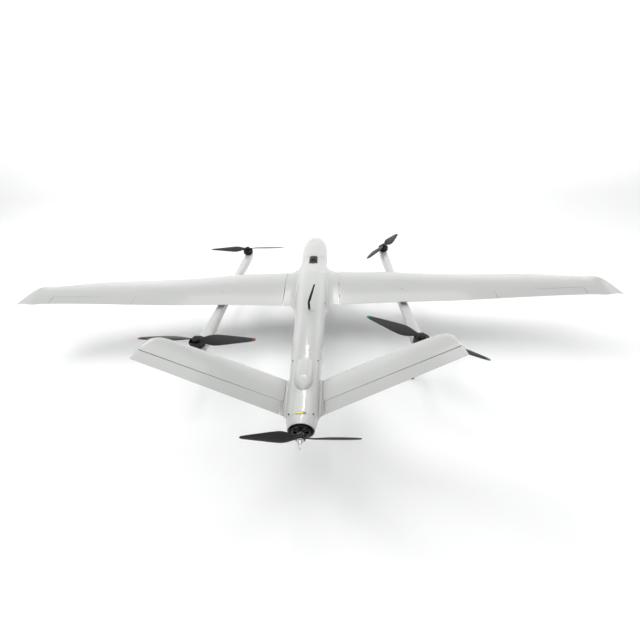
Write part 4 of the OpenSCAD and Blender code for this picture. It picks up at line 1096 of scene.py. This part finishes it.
def build_propeller(name, diameter, hub_d, hub_h, bore, boost, cap=False):
    """Two blades along X on a hub, turning about Z. The mesh keeps how far out each point is."""
    c = (1 - np.cos(np.linspace(0, pi, 26))) / 2
    rings = []
    near_tip = 0.9 + 0.1 * np.sin(np.radians(np.linspace(0, 90, 18)[1:]))
    shares = np.concatenate([np.linspace(0.05, 0.9, 52), near_tip])
    for share in shares:
        chord = float(smooth(BLADES, share, 1)) * diameter
        pitch = radians(float(smooth(BLADES, share, 2)) * boost)
        thick = 0.09 + 0.12 * (1 - share) ** 3
        half = half_thickness(c) * thick * chord + 0.35 * MM * c * min(1.0, chord / (12 * MM))
        bow = 4 * 0.05 * chord * c * (1 - c)
        y = np.concatenate([chord * (0.42 - c), (chord * (0.42 - c))[::-1][:-1]])
        z = np.concatenate([bow + half, (bow - half)[::-1][:-1]])
        rings.append(np.stack([np.full(len(y), share * diameter / 2), y * cos(pitch) - z * sin(pitch),
                               y * sin(pitch) + z * cos(pitch) + hub_h / 2], 1))
    blade = from_rings(name + "_blade", rings, sharp=50)
    other = blade.copy()
    other.data = blade.data.copy()
    bpy.context.collection.objects.link(other)
    other.data.transform(Matrix.Rotation(pi, 4, "Z"))
    pieces = [blade, other, lathe(name + "_hub", turned(hub_d / 2, 0, hub_h, 1.6 * MM, bore / 2 + 0.05 * MM))]
    if cap:
        outline = [(3.2, 0), (12, 0), (10.4, 3.4), (9.8, 4), (3.2, 4)]
        pieces.append(lathe(name + "_cap", [(r * MM, hub_h + z * MM) for r, z in outline]))
        for side in (-1, 1):
            bolt = [(1e-3, 3), (1.9, 3), (1.9, 4.6), (1.5, 5), (0.8, 5), (0.8, 4), (1e-3, 4)]
            head = lathe(name + "_bolt", [(r * MM, hub_h + z * MM) for r, z in bolt], around=24)
            head.data.transform(Matrix.Translation((side * 6 * MM, 0, 0)))
            pieces.append(head)
    piece = join_pieces(name, pieces, sharp=50)
    co = np.zeros(len(piece.data.vertices) * 3)
    piece.data.vertices.foreach_get("co", co)
    co = co.reshape(-1, 3)
    store = piece.data.attributes.new("span", "FLOAT", "POINT")
    store.data.foreach_set("value", (np.hypot(co[:, 0], co[:, 1]) / (diameter / 2)).astype(np.float32))
    return piece


# ---------------------------------------------------------------- screws
def hex_screw(name, radius=3.0 * MM, height=1.2 * MM):
    """A button head with a hexagon socket; its top is at Z = height."""
    n = 48
    a = 2 * pi * np.arange(n) / n
    socket = hexagon(a, 0.46 * radius)
    q = np.radians(np.linspace(0, 80, 6))
    outline = [(radius, 0)]
    outline += [(radius * (0.74 + 0.26 * cos(t)), height * (0.25 + 0.75 * sin(t))) for t in q]
    outline += [(0.62 * radius, height), (socket, height), (socket, 0.25 * height)]
    return from_rings(name, [round_ring(a, r, z) for r, z in outline], sharp=30)


# ---------------------------------------------------------------- shader groups
class Graph:
    """Short hand for adding nodes to a tree."""

    def __init__(self, tree):
        self.tree = tree

    def add(self, kind, settings=None, **inputs):
        node = self.tree.nodes.new(kind)
        for key, value in (settings or {}).items():
            setattr(node, key, value)
        for key, value in inputs.items():
            self.put(node.inputs[key.replace("_", " ")], value)
        return node

    def put(self, socket, value):
        if isinstance(value, bpy.types.NodeSocket):
            self.tree.links.new(value, socket)
        else:
            socket.default_value = value

    def math(self, operation, *values):
        node = self.add("ShaderNodeMath", {"operation": operation})
        for socket, value in zip(node.inputs, values):
            self.put(socket, value)
        return node.outputs[0]

    def noise(self, where, scale, detail=2.0, rough=0.5):
        node = self.add("ShaderNodeTexNoise", Vector=where, Scale=scale, Detail=detail, Roughness=rough)
        return node.outputs["Fac"]

    def mix(self, factor, a, b):
        node = self.add("ShaderNodeMix", {"data_type": "RGBA"})
        for index, value in ((0, factor), (6, a), (7, b)):
            self.put(node.inputs[index], value)
        return node.outputs[2]

    def between(self, factor, low, high):
        """low to high as factor goes from 0 to 1."""
        return self.add("ShaderNodeMapRange", Value=factor, To_Min=low, To_Max=high).outputs[0]


def shader_group(name, inputs, outputs):
    tree = bpy.data.node_groups.new(name, "ShaderNodeTree")
    for key, (kind, value) in inputs.items():
        socket = tree.interface.new_socket(name=key, in_out="INPUT", socket_type=kind)
        socket.default_value = value
    for key, kind in outputs.items():
        tree.interface.new_socket(name=key, in_out="OUTPUT", socket_type=kind)
    graph = Graph(tree)
    return tree, graph, graph.add("NodeGroupInput"), graph.add("NodeGroupOutput")


FLOAT, COLOR, VECTOR = "NodeSocketFloat", "NodeSocketColor", "NodeSocketVector"


def make_orange_peel():
    """The faint ripple of a sprayed or moulded gloss skin, and broad patches of tone."""
    tree, g, start, end = shader_group("Orange peel", {"Scale": (FLOAT, 60.0), "Height": (FLOAT, 0.06)},
                                       {"Normal": VECTOR, "Patches": FLOAT, "Haze": FLOAT})
    where = g.add("ShaderNodeTexCoord").outputs["Object"]
    ripple = g.noise(where, start.outputs["Scale"], 2.0, 0.45)
    broad = g.noise(where, g.math("MULTIPLY", start.outputs["Scale"], 0.07), 2.0, 0.5)
    height = g.math("ADD", ripple, g.math("MULTIPLY", broad, 3.0))
    bump = g.add("ShaderNodeBump", Strength=start.outputs["Height"], Distance=0.002, Height=height)
    g.put(end.inputs["Normal"], bump.outputs[0])
    g.put(end.inputs["Patches"], broad)
    g.put(end.inputs["Haze"], g.noise(where, 9.0, 4.0, 0.6))
    return tree


def make_fine_grain():
    """Moulded plastic or rubber grain."""
    tree, g, start, end = shader_group("Fine grain", {"Scale": (FLOAT, 900.0), "Height": (FLOAT, 0.3)},
                                       {"Normal": VECTOR, "Grain": FLOAT, "Wear": FLOAT})
    where = g.add("ShaderNodeTexCoord").outputs["Object"]
    cells = g.add("ShaderNodeTexVoronoi", Vector=where, Scale=start.outputs["Scale"]).outputs["Distance"]
    fine = g.noise(where, g.math("MULTIPLY", start.outputs["Scale"], 0.6), 3.0, 0.6)
    grain = g.math("MULTIPLY", cells, fine)
    bump = g.add("ShaderNodeBump", Strength=start.outputs["Height"], Distance=0.0006, Height=grain)
    g.put(end.inputs["Normal"], bump.outputs[0])
    g.put(end.inputs["Grain"], grain)
    g.put(end.inputs["Wear"], g.noise(where, 34.0, 4.0, 0.6))
    return tree


def make_weave():
    """Twill cloth under a clear coat: light and dark threads that cross on the diagonal."""
    tree, g, start, end = shader_group("Carbon weave", {"Thread": (FLOAT, 0.0022)},
                                       {"Mask": FLOAT, "Normal": VECTOR, "Haze": FLOAT})
    where = g.add("ShaderNodeTexCoord").outputs["Object"]
    axes = g.add("ShaderNodeSeparateXYZ", Vector=where).outputs
    rise = g.math("MULTIPLY", axes["Z"], 0.7)
    u, v = (g.math("DIVIDE", g.math("ADD", axes[key], rise), start.outputs["Thread"]) for key in "XY")
    step = g.math("ADD", g.math("FLOOR", u), g.math("FLOOR", v))
    over = g.math("LESS_THAN", g.math("FLOORED_MODULO", step, 4.0), 2.0)
    across = g.math("FRACT", u)
    along = g.math("FRACT", v)
    pick = g.add("ShaderNodeMix", Factor=over, A=across, B=along).outputs[0]
    swell = g.math("SINE", g.math("MULTIPLY", pick, pi))
    bump = g.add("ShaderNodeBump", Strength=0.25, Distance=0.0004, Height=swell)
    g.put(end.inputs["Mask"], g.math("MULTIPLY", over, swell))
    g.put(end.inputs["Normal"], bump.outputs[0])
    g.put(end.inputs["Haze"], g.noise(where, 14.0, 3.0, 0.5))
    return tree


def make_machined():
    """Fine tool lines and a little handling haze on turned metal."""
    tree, g, start, end = shader_group("Machined", {"Lines": (FLOAT, 2600.0), "Height": (FLOAT, 0.1)},
                                       {"Normal": VECTOR, "Lines": FLOAT, "Haze": FLOAT})
    where = g.add("ShaderNodeTexCoord").outputs["Object"]
    squash = g.add("ShaderNodeMapping", Vector=where, Scale=(0.02, 1.0, 1.0)).outputs[0]
    lines = g.noise(squash, start.outputs["Lines"], 2.0, 0.5)
    bump = g.add("ShaderNodeBump", Strength=start.outputs["Height"], Distance=0.0003, Height=lines)
    g.put(end.inputs["Normal"], bump.outputs[0])
    g.put(end.inputs["Lines"], lines)
    g.put(end.inputs["Haze"], g.noise(where, 60.0, 3.0, 0.6))
    return tree


ORANGE_PEEL, FINE_GRAIN = make_orange_peel(), make_fine_grain()
WEAVE, MACHINED = make_weave(), make_machined()


# ---------------------------------------------------------------- materials
def material(name, group, color, rough, group_inputs=None, vary=None, **principled):
    """A Principled material whose tone and roughness vary with its group's masks."""
    mat = bpy.data.materials.new(name)
    mat.use_nodes = True
    g = Graph(mat.node_tree)
    shader = mat.node_tree.nodes["Principled BSDF"]
    detail = g.add("ShaderNodeGroup", {"node_tree": group})
    for key, value in (group_inputs or {}).items():
        detail.inputs[key].default_value = value
    outs = {o.name: o for o in detail.outputs}
    tone = outs.get("Patches") or outs.get("Mask") or outs.get("Grain") or outs.get("Lines")
    haze = outs.get("Haze") or outs.get("Wear")
    if callable(vary):
        base = vary(g, outs)
    else:
        other = vary or tuple(c * 0.86 for c in color)
        base = g.mix(tone, (*color, 1), (*other, 1))
    g.put(shader.inputs["Base Color"], base)
    g.put(shader.inputs["Roughness"], g.between(haze, *rough))
    g.put(shader.inputs["Normal"], outs["Normal"])
    for key, value in principled.items():
        shader.inputs[key.replace("_", " ")].default_value = value
    return mat


def blade_material(name, tip):
    def paint(g, outs):
        base = g.mix(outs["Grain"], (0.020, 0.020, 0.021, 1), (0.036, 0.036, 0.038, 1))
        if tip is None:
            return base
        span = g.add("ShaderNodeAttribute", {"attribute_name": "span"}).outputs["Fac"]
        return g.mix(g.math("GREATER_THAN", span, 0.95), base, (*tip, 1))

    return material(name, FINE_GRAIN, (0.02, 0.02, 0.02), (0.34, 0.5), {"Scale": 700.0, "Height": 0.12},
                    paint, Specular_IOR_Level=0.22)


def label_paint(g, outs):
    """Yellow label with a dark band at one end and a thin dark border."""
    low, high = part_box("tail_sticker")
    where = g.add("ShaderNodeTexCoord").outputs["Object"]
    axes = g.add("ShaderNodeSeparateXYZ", Vector=where).outputs
    band = g.math("GREATER_THAN", axes["X"], low.x + 0.72 * (high.x - low.x))
    border = 0.9 * MM
    side = g.math("GREATER_THAN", g.math("ABSOLUTE", axes["X"]), high.x - border)
    middle = (low.y + high.y) / 2
    off = g.math("ABSOLUTE", g.math("SUBTRACT", axes["Y"], middle))
    edge = g.math("GREATER_THAN", off, high.y - middle - border)
    dark = g.math("MAXIMUM", band, g.math("MAXIMUM", side, edge))
    yellow = g.mix(outs["Patches"], (0.80, 0.70, 0.06, 1), (0.72, 0.62, 0.05, 1))
    return g.mix(dark, yellow, (0.11, 0.12, 0.03, 1))


WHITE = material("white_gelcoat", ORANGE_PEEL, (0.50, 0.507, 0.490), (0.14, 0.26),
                 {"Scale": 55.0, "Height": 0.05}, (0.475, 0.482, 0.466),
                 Coat_Weight=0.6, Coat_Roughness=0.06, Specular_IOR_Level=0.5)
CARBON = material("carbon_cloth", WEAVE, (0.012, 0.012, 0.013), (0.26, 0.40), {}, (0.075, 0.075, 0.08),
                  Coat_Weight=0.5, Coat_Roughness=0.12)
ANODISED = material("black_anodised", MACHINED, (0.012, 0.012, 0.013), (0.28, 0.42), {},
                    (0.022, 0.022, 0.024), Metallic=0.5, Specular_IOR_Level=0.35)
COPPER = material("copper_wire", MACHINED, (0.55, 0.22, 0.08), (0.28, 0.45), {"Lines": 1500.0, "Height": 0.5},
                  (0.38, 0.14, 0.05), Metallic=0.9, Coat_Weight=0.3)
IRON = material("laminations", MACHINED, (0.14, 0.14, 0.145), (0.4, 0.55), {"Lines": 2000.0, "Height": 0.3},
                (0.08, 0.08, 0.085), Metallic=0.8)
SILVER = material("machined_aluminium", MACHINED, (0.66, 0.66, 0.67), (0.18, 0.34), {}, (0.52, 0.52, 0.53),
                  Metallic=1.0)
STEEL = material("plain_steel", MACHINED, (0.42, 0.42, 0.44), (0.26, 0.42), {}, (0.34, 0.34, 0.36),
                 Metallic=1.0)
PLASTIC = material("black_plastic", FINE_GRAIN, (0.016, 0.016, 0.017), (0.4, 0.6), {}, (0.03, 0.03, 0.031),
                   Specular_IOR_Level=0.3)
RUBBER = material("black_rubber", FINE_GRAIN, (0.018, 0.018, 0.018), (0.72, 0.88),
                  {"Scale": 500.0, "Height": 0.5}, (0.032, 0.031, 0.03))
SCREW = material("black_oxide", MACHINED, (0.014, 0.014, 0.015), (0.4, 0.55), {}, (0.009, 0.009, 0.01),
                 Metallic=0.4, Specular_IOR_Level=0.25)
WRAP = material("heat_shrink", ORANGE_PEEL, (0.020, 0.075, 0.23), (0.22, 0.36),
                {"Scale": 160.0, "Height": 0.25}, (0.016, 0.055, 0.17), Coat_Weight=0.4)
PALE = material("pale_plastic", FINE_GRAIN, (0.66, 0.66, 0.63), (0.36, 0.5), {}, (0.58, 0.58, 0.55))
LABEL = material("yellow_label", ORANGE_PEEL, (0.8, 0.7, 0.06), (0.25, 0.35), {"Scale": 90.0, "Height": 0.05},
                 label_paint, Coat_Weight=0.3)
BLADE = blade_material("blade_black", None)
BLADE_RED = blade_material("blade_red_tip", (0.22, 0.05, 0.04))
BLADE_GREEN = blade_material("blade_green_tip", (0.015, 0.22, 0.09))

RING, SCATTER, ROW = ring_tree(), scatter_tree(), row_tree()


# ---------------------------------------------------------------- the drone, put together
def both(build, name, mat):
    """A right-hand piece and its mirrored twin."""
    right = build()
    left = mirrored("left_" + name, right)
    right.name = "right_" + name
    placed(right, ["right_" + name], mat)
    placed(left, ["left_" + name], mat)


def add_body():
    shell = mirror_halves("body_skin", build_fuselage())
    skin = join_pieces("fuselage_skin", [shell, build_lip()])
    for piece, node in ((skin, "fuselage_shell"), (build_nose(), "nose_cover"), (build_cowl(), "tail_cowl"),
                        (build_blister(), "rear_blister")):
        placed(piece, [node], WHITE)


def add_surfaces():
    for build, name in ((build_wing, "wing"), (build_aileron, "aileron"), (build_tail_panel, "tail_panel"),
                        (build_ruddervator, "ruddervator"), (build_boom, "boom")):
        both(build, name, WHITE)


def rotor_place(front, side):
    return Matrix.Translation((side * BOOM_X, FRONT_Y if front else REAR_Y, BOOM_TOP))


PROP_TURN = {("front", "left"): 0, ("front", "right"): 58, ("rear", "left"): 2, ("rear", "right"): -35}
PUSHER_TURN = -1
LIFT_PROP_D, PUSHER_PROP_D = 445 * MM, 318 * MM


def add_lift_rotors():
    windings = []
    for front in (True, False):
        for side in (-1, 1):
            end, hand = "front" if front else "rear", "left" if side < 0 else "right"
            place = rotor_place(front, side)
            bell = build_bell(f"{end}_{hand}_motor", LIFT_D / 2, 5 * MM, LIFT_H, 9 * MM, 8, RING, ANODISED,
                              3 * MM)
            bell.data.transform(place)
            placed(bell, [f"{end}_{hand}_bell"], ANODISED)
            base = lathe("base", turned(20 * MM, 0, 4 * MM, 0.6 * MM))
            neck = lathe("neck", turned(6 * MM, 3.5 * MM, 8 * MM, 0.3 * MM, 3.2 * MM))
            for piece in (base, neck):
                piece.data.materials.append(ANODISED)
            parts = build_windings("coils", 23.4 * MM, 7 * MM, 19 * MM, 12, RING, COPPER, IRON)
            parts += [base, neck]
            for part in parts:
                part.data.transform(place)
            windings += parts
            blades = build_propeller(f"{end}_{hand}_blades", LIFT_PROP_D, 28 * MM, 8 * MM, 6 * MM, 1.0,
                                     cap=True)
            turn = Matrix.Rotation(radians(PROP_TURN[end, hand]), 4, "Z")
            if not front:
                turn = turn @ Matrix.Scale(-1, 4, (0, 1, 0))
            if side < 0:
                turn = Matrix.Scale(-1, 4, (1, 0, 0)) @ turn
            blades.data.transform(place @ Matrix.Translation((0, 0, LIFT_H + 2 * MM)) @ turn)
            if turn.determinant() < 0:
                blades.data.flip_normals()
            tip = BLADE_RED if side < 0 else BLADE_GREEN
            placed(blades, [f"{end}_{hand}_propeller"], tip)
    placed(join_pieces("lift_windings", windings, 30), ["lift_stators"])


PUSHER_D, PUSHER_LEN = 54 * MM, 40 * MM
BULKHEAD_Y = RIM_Y - 5 * MM + PUSHER_LEN + 4 * MM
PROP_Y = RIM_Y - 14 * MM
NUT_Y = PROP_Y - 10 * MM


def aft(y):
    return Matrix.Translation((0, y, THRUST_Z)) @ Matrix.Rotation(pi / 2, 4, "X")


def add_pusher():
    bell = build_bell("pusher_motor", PUSHER_D / 2, 5 * MM, PUSHER_LEN, 8 * MM, 7, RING, ANODISED, 3 * MM)
    bell.data.materials.clear()
    bell.data.materials.append(ANODISED)
    outline = [(3, 40), (8, 40), (8, 46), (7, 47), (7, 51), (8, 52), (8, 53), (3, 53)]
    collar_piece = lathe("collar", [(r * MM, z * MM) for r, z in outline])
    reach = -(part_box("pusher_bell")[0].y - BULKHEAD_Y)
    shaft = lathe("shaft_end", [(1e-6, 38 * MM), (3 * MM, 38 * MM), (3 * MM, reach - 8 * MM),
                                (2.8 * MM, reach - 7.6 * MM), (2.8 * MM, reach - 0.8 * MM),
                                (2.1 * MM, reach), (1e-6, reach)], around=48)
    for piece in (collar_piece, shaft):
        piece.data.materials.append(SILVER)
    for piece in (bell, collar_piece, shaft):
        piece.data.transform(aft(BULKHEAD_Y))
    whole = join_pieces("pusher_bell_fine", [bell, collar_piece, shaft], 30)
    placed(whole, ["pusher_bell"])
    mount = refined("pusher_stator", 0.3 * MM)
    mount.data.materials.append(IRON)
    coils = build_windings("pusher_coils", 22.6 * MM, 6 * MM, 30 * MM, 12, RING, COPPER, IRON)
    for part in coils:
        part.data.transform(aft(BULKHEAD_Y))
    placed(join_pieces("pusher_windings", [mount] + coils, 30), ["pusher_stator"])
    blades = build_propeller("pusher_blades", PUSHER_PROP_D, 27 * MM, 10 * MM, 6 * MM, 1.35)
    blades.data.transform(aft(PROP_Y) @ Matrix.Rotation(radians(PUSHER_TURN), 4, "Z"))
    placed(blades, ["pusher_propeller"], BLADE)
    placed(build_nut(), ["pusher_nut"], SILVER)


def build_nut():
    """A washer, a hexagon with chamfered corners and a tapered end, threaded on the shaft."""
    washer = lathe("washer", turned(9.5 * MM, 0, 2.5 * MM, 0.4 * MM, 3.1 * MM))
    n = 96
    a = 2 * pi * np.arange(n) / n
    flats = hexagon(a, 5.63 * MM)
    chamfer, bore = np.minimum(flats, 6.0 * MM), 3.1 * MM
    outline = [(bore, 2.5), (chamfer, 2.5), (flats, 3.1), (flats, 8.9), (chamfer, 9.5), (5.5 * MM, 9.5),
               (4.4 * MM, 13.0), (3.9 * MM, 13.5), (bore, 13.5)]
    rings = [round_ring(a, r, z * MM) for r, z in outline]
    nut = from_rings("nut", rings, close=(False, False), join=1, sharp=25)
    piece = join_pieces("pusher_nut_fine", [washer, nut], 25)
    piece.data.transform(aft(NUT_Y))
    return piece


# x in millimetres, then y
BODY_SCREWS = [(-40, BLISTER_Y + 1 * MM), (40, BLISTER_Y + 1 * MM), (-32, COWL_Y + 5 * MM),
               (32, COWL_Y + 5 * MM), (-60, WING_Y - 185 * MM), (60, WING_Y - 65 * MM),
               (60, WING_Y - 315 * MM)]


def add_screws():
    spots = np.array([(x * MM, y, 0.2) for x, y in BODY_SCREWS])
    up = np.tile([0.0, 0.0, 1.0], (len(spots), 1))
    spots = leave(spots, up, 0.08) - [0, 0, 0.5 * MM]
    head = hex_screw("body_screw_head")
    placed(grown("body_screw_set", SCATTER, points=spots, Screw=head, Size=1.0, Seed=5, Material=SCREW),
           ["body_screws"])
    small = hex_screw("wing_screw_head", 2.5 * MM, 1.2 * MM)
    joint = np.array([[JOINT_X - 8 * MM, WING_Y - 46 * MM, 0.2]])
    joint = leave(joint, up[:1], 0.08)[0]
    marks = [joint]
    lead, trail = wing_edges(BOOM_X)
    for back in (65 * MM, 205 * MM):
        c = np.array([(back - lead) / (trail - lead)])
        marks.append(wing_point(BOOM_X, c, 1)[0])
    marks = np.array([m * [side, 1, 1] for m in marks for side in (-1, 1)]) - [0, 0, 0.8 * MM]
    placed(grown("wing_screw_set", SCATTER, points=marks, Screw=small, Size=1.0, Seed=8, Material=SCREW),
           ["wing_screws"])
    drop(head, small)


def add_latch():
    placed(refined("nose_latch_plate", 0.7 * MM, 3), ["nose_latch_plate"], PLASTIC)
    low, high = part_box("nose_latch_slider")
    top = high.z - 1.4 * MM
    slab = block("slab", (low.x, low.y, low.z), (high.x, high.y, top), 0.6 * MM)
    rib = block("rib", (-10 * MM, -1 * MM, top - 0.6 * MM), (10 * MM, 1 * MM, high.z), 0.45 * MM)
    ribs = grown("ribs", ROW, Piece=rib, Count=5, Step=(0, 5 * MM, 0), Material=PLASTIC,
                 place=Matrix.Translation((0, low.y + 5 * MM, 0)))
    drop(rib)
    placed(join_pieces("latch_slider_fine", [slab, ribs]), ["nose_latch_slider"], PLASTIC)


WHIP_LEAN = 18
WHIP_LEN = 82 * MM


def add_antenna():
    placed(refined("antenna_socket", 0.35 * MM), ["antenna_socket"], SILVER)
    placed(refined("antenna_knuckle", 0.3 * MM), ["antenna_knuckle"], PLASTIC)
    joint = next(j for j in frame["joints"] if j["name"] == "antenna_tilt")
    r = 3.2 * MM
    profile = [(1e-6, 5 * MM), (r + 1.4 * MM, 5 * MM), (r + 2 * MM, 6 * MM)]
    profile += [(r + 2 * MM - 2 * MM * t, 6 * MM + 70 * MM * t) for t in np.linspace(0.05, 1, 8)]
    profile += [(r * cos(a), WHIP_LEN - r + r * sin(a)) for a in np.radians(np.linspace(0, 90, 8))[:-1]]
    profile += [(1e-6, WHIP_LEN)]
    rod = lathe("rod", profile, around=48)
    tongue = block("tongue", (-r, -2 * MM, -2.6 * MM), (r, 2 * MM, 8 * MM), 0.8 * MM)
    whip = join_pieces("antenna_whip_fine", [rod, tongue])
    whip.data.transform(Matrix.Translation(joint["pos_m"]) @ Matrix.Rotation(radians(WHIP_LEAN), 4, "Y"))
    placed(whip, ["antenna_whip"], PLASTIC)


def add_landing_gear():
    placed(refined("landing_legs", 0.4 * MM), ["landing_legs"], CARBON)
    placed(refined("landing_feet", 1.2 * MM, 3), ["landing_feet"], RUBBER)


def add_equipment():
    """What is inside, under the skins, and the payload plate."""
    low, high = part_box("battery_pack")
    pack = block("battery_block", low, high, 4 * MM, segments=5)
    placed(pack, ["battery_pack"], WRAP)
    for node, edge, slot, mat in (
        ("equipment_tray", 0.3, "carbon", CARBON), ("payload_plate", 0.4, "carbon", CARBON),
        ("motor_bulkhead", 0.3, "carbon", CARBON), ("wing_spars", 0.2, "carbon", CARBON),
        ("tail_spars", 0.3, "carbon", CARBON), ("wing_pins", 0.5, "steel", STEEL),
        ("autopilot", 1.5, "black_plastic", PLASTIC), ("satnav_puck", 2.0, "light_plastic", PALE),
        ("speed_controllers", 1.0, "black_plastic", PLASTIC), ("servos", 0.6, "black_plastic", PLASTIC),
        ("tail_sticker", 0.0, "yellow_label", LABEL),
    ):
        placed(refined(node, edge * MM, 3), [node], mat)


def add_linkages():
    for side in ("left", "right"):
        for node in ("aileron_horn", "aileron_arm", "tail_horn", "tail_arm"):
            placed(refined(f"{side}_{node}", 0.25 * MM), [f"{side}_{node}"], PLASTIC)
        for node in ("aileron_rod", "tail_rod"):
            placed(refined(f"{side}_{node}", 0.15 * MM), [f"{side}_{node}"], STEEL)


add_body()
add_surfaces()
add_lift_rotors()
add_pusher()
add_screws()
add_latch()
add_antenna()
add_landing_gear()
add_equipment()
add_linkages()


# ---------------------------------------------------------------- studio
SKY = 0.45
# name, place, aim, size, watts
STUDIO_LIGHTS = [
    ("ceiling", (0.0, 0.4, 4.4), (0, 0, 0.2), (5.0, 5.0), 105),
    ("key_softbox", (-2.6, 1.2, 3.4), (0, 0, 0.2), (1.6, 1.6), 55),
    ("crown_strip", (-0.18, 1.9, 3.0), (0, 0, 0.2), (0.06, 1.0), 10),
    ("right_strip", (3.4, -0.2, 2.4), (0, 0, 0.2), (0.5, 3.0), 20),
    ("left_wall_light", (-3.5, 4.2, 4.4), (-3.5, 8.5, 1.6), (2.4, 1.2), 120),
    ("right_wall_light", (3.5, 4.2, 4.4), (3.5, 8.5, 1.6), (2.4, 1.2), 120),
]


SEEN_IN_GLOSS = ("ceiling", "crown_strip", "right_strip")


def add_studio():
    """A pale floor that curves up into a round wall, and soft light from above."""
    a = 2 * pi * np.arange(96) / 96
    bend = np.radians(np.linspace(0, 90, 16))
    profile = [(r, 0.0) for r in (0.01, 2, 4, 6)] + [(6 + 2.5 * sin(t), 2.5 - 2.5 * cos(t)) for t in bend[1:]]
    profile += [(8.5, 4.0), (8.5, 6.5)]
    rings = [np.stack([r * np.cos(a), r * np.sin(a), np.full(96, z)], 1) for r, z in profile]
    room = from_rings("studio_floor", rings, close=(True, False))
    room.data.flip_normals()
    paint = material("studio_paint", ORANGE_PEEL, (0.93, 0.93, 0.93), (0.7, 0.8),
                     {"Scale": 3.0, "Height": 0.0}, (0.92, 0.92, 0.92), Specular_IOR_Level=0.05)
    room.data.materials.append(paint)
    for name, at, target, size, power in STUDIO_LIGHTS:
        data = bpy.data.lights.new(name, "AREA")
        data.shape, data.size, data.size_y, data.energy = "RECTANGLE", size[0], size[1], power
        lamp = bpy.data.objects.new(name, data)
        lamp.visible_glossy = name in SEEN_IN_GLOSS
        bpy.context.collection.objects.link(lamp)
        aim = Vector(target) - Vector(at)
        lamp.matrix_world = Matrix.Translation(at) @ aim.to_track_quat("-Z", "Y").to_matrix().to_4x4()
    world = bpy.data.worlds.new("studio_world")
    world.use_nodes = True
    world.node_tree.nodes["Background"].inputs["Color"].default_value = (0.97, 0.98, 1.0, 1)
    world.node_tree.nodes["Background"].inputs["Strength"].default_value = SKY
    bpy.context.scene.world = world
    bpy.context.scene.view_settings.view_transform = "Standard"


add_studio()
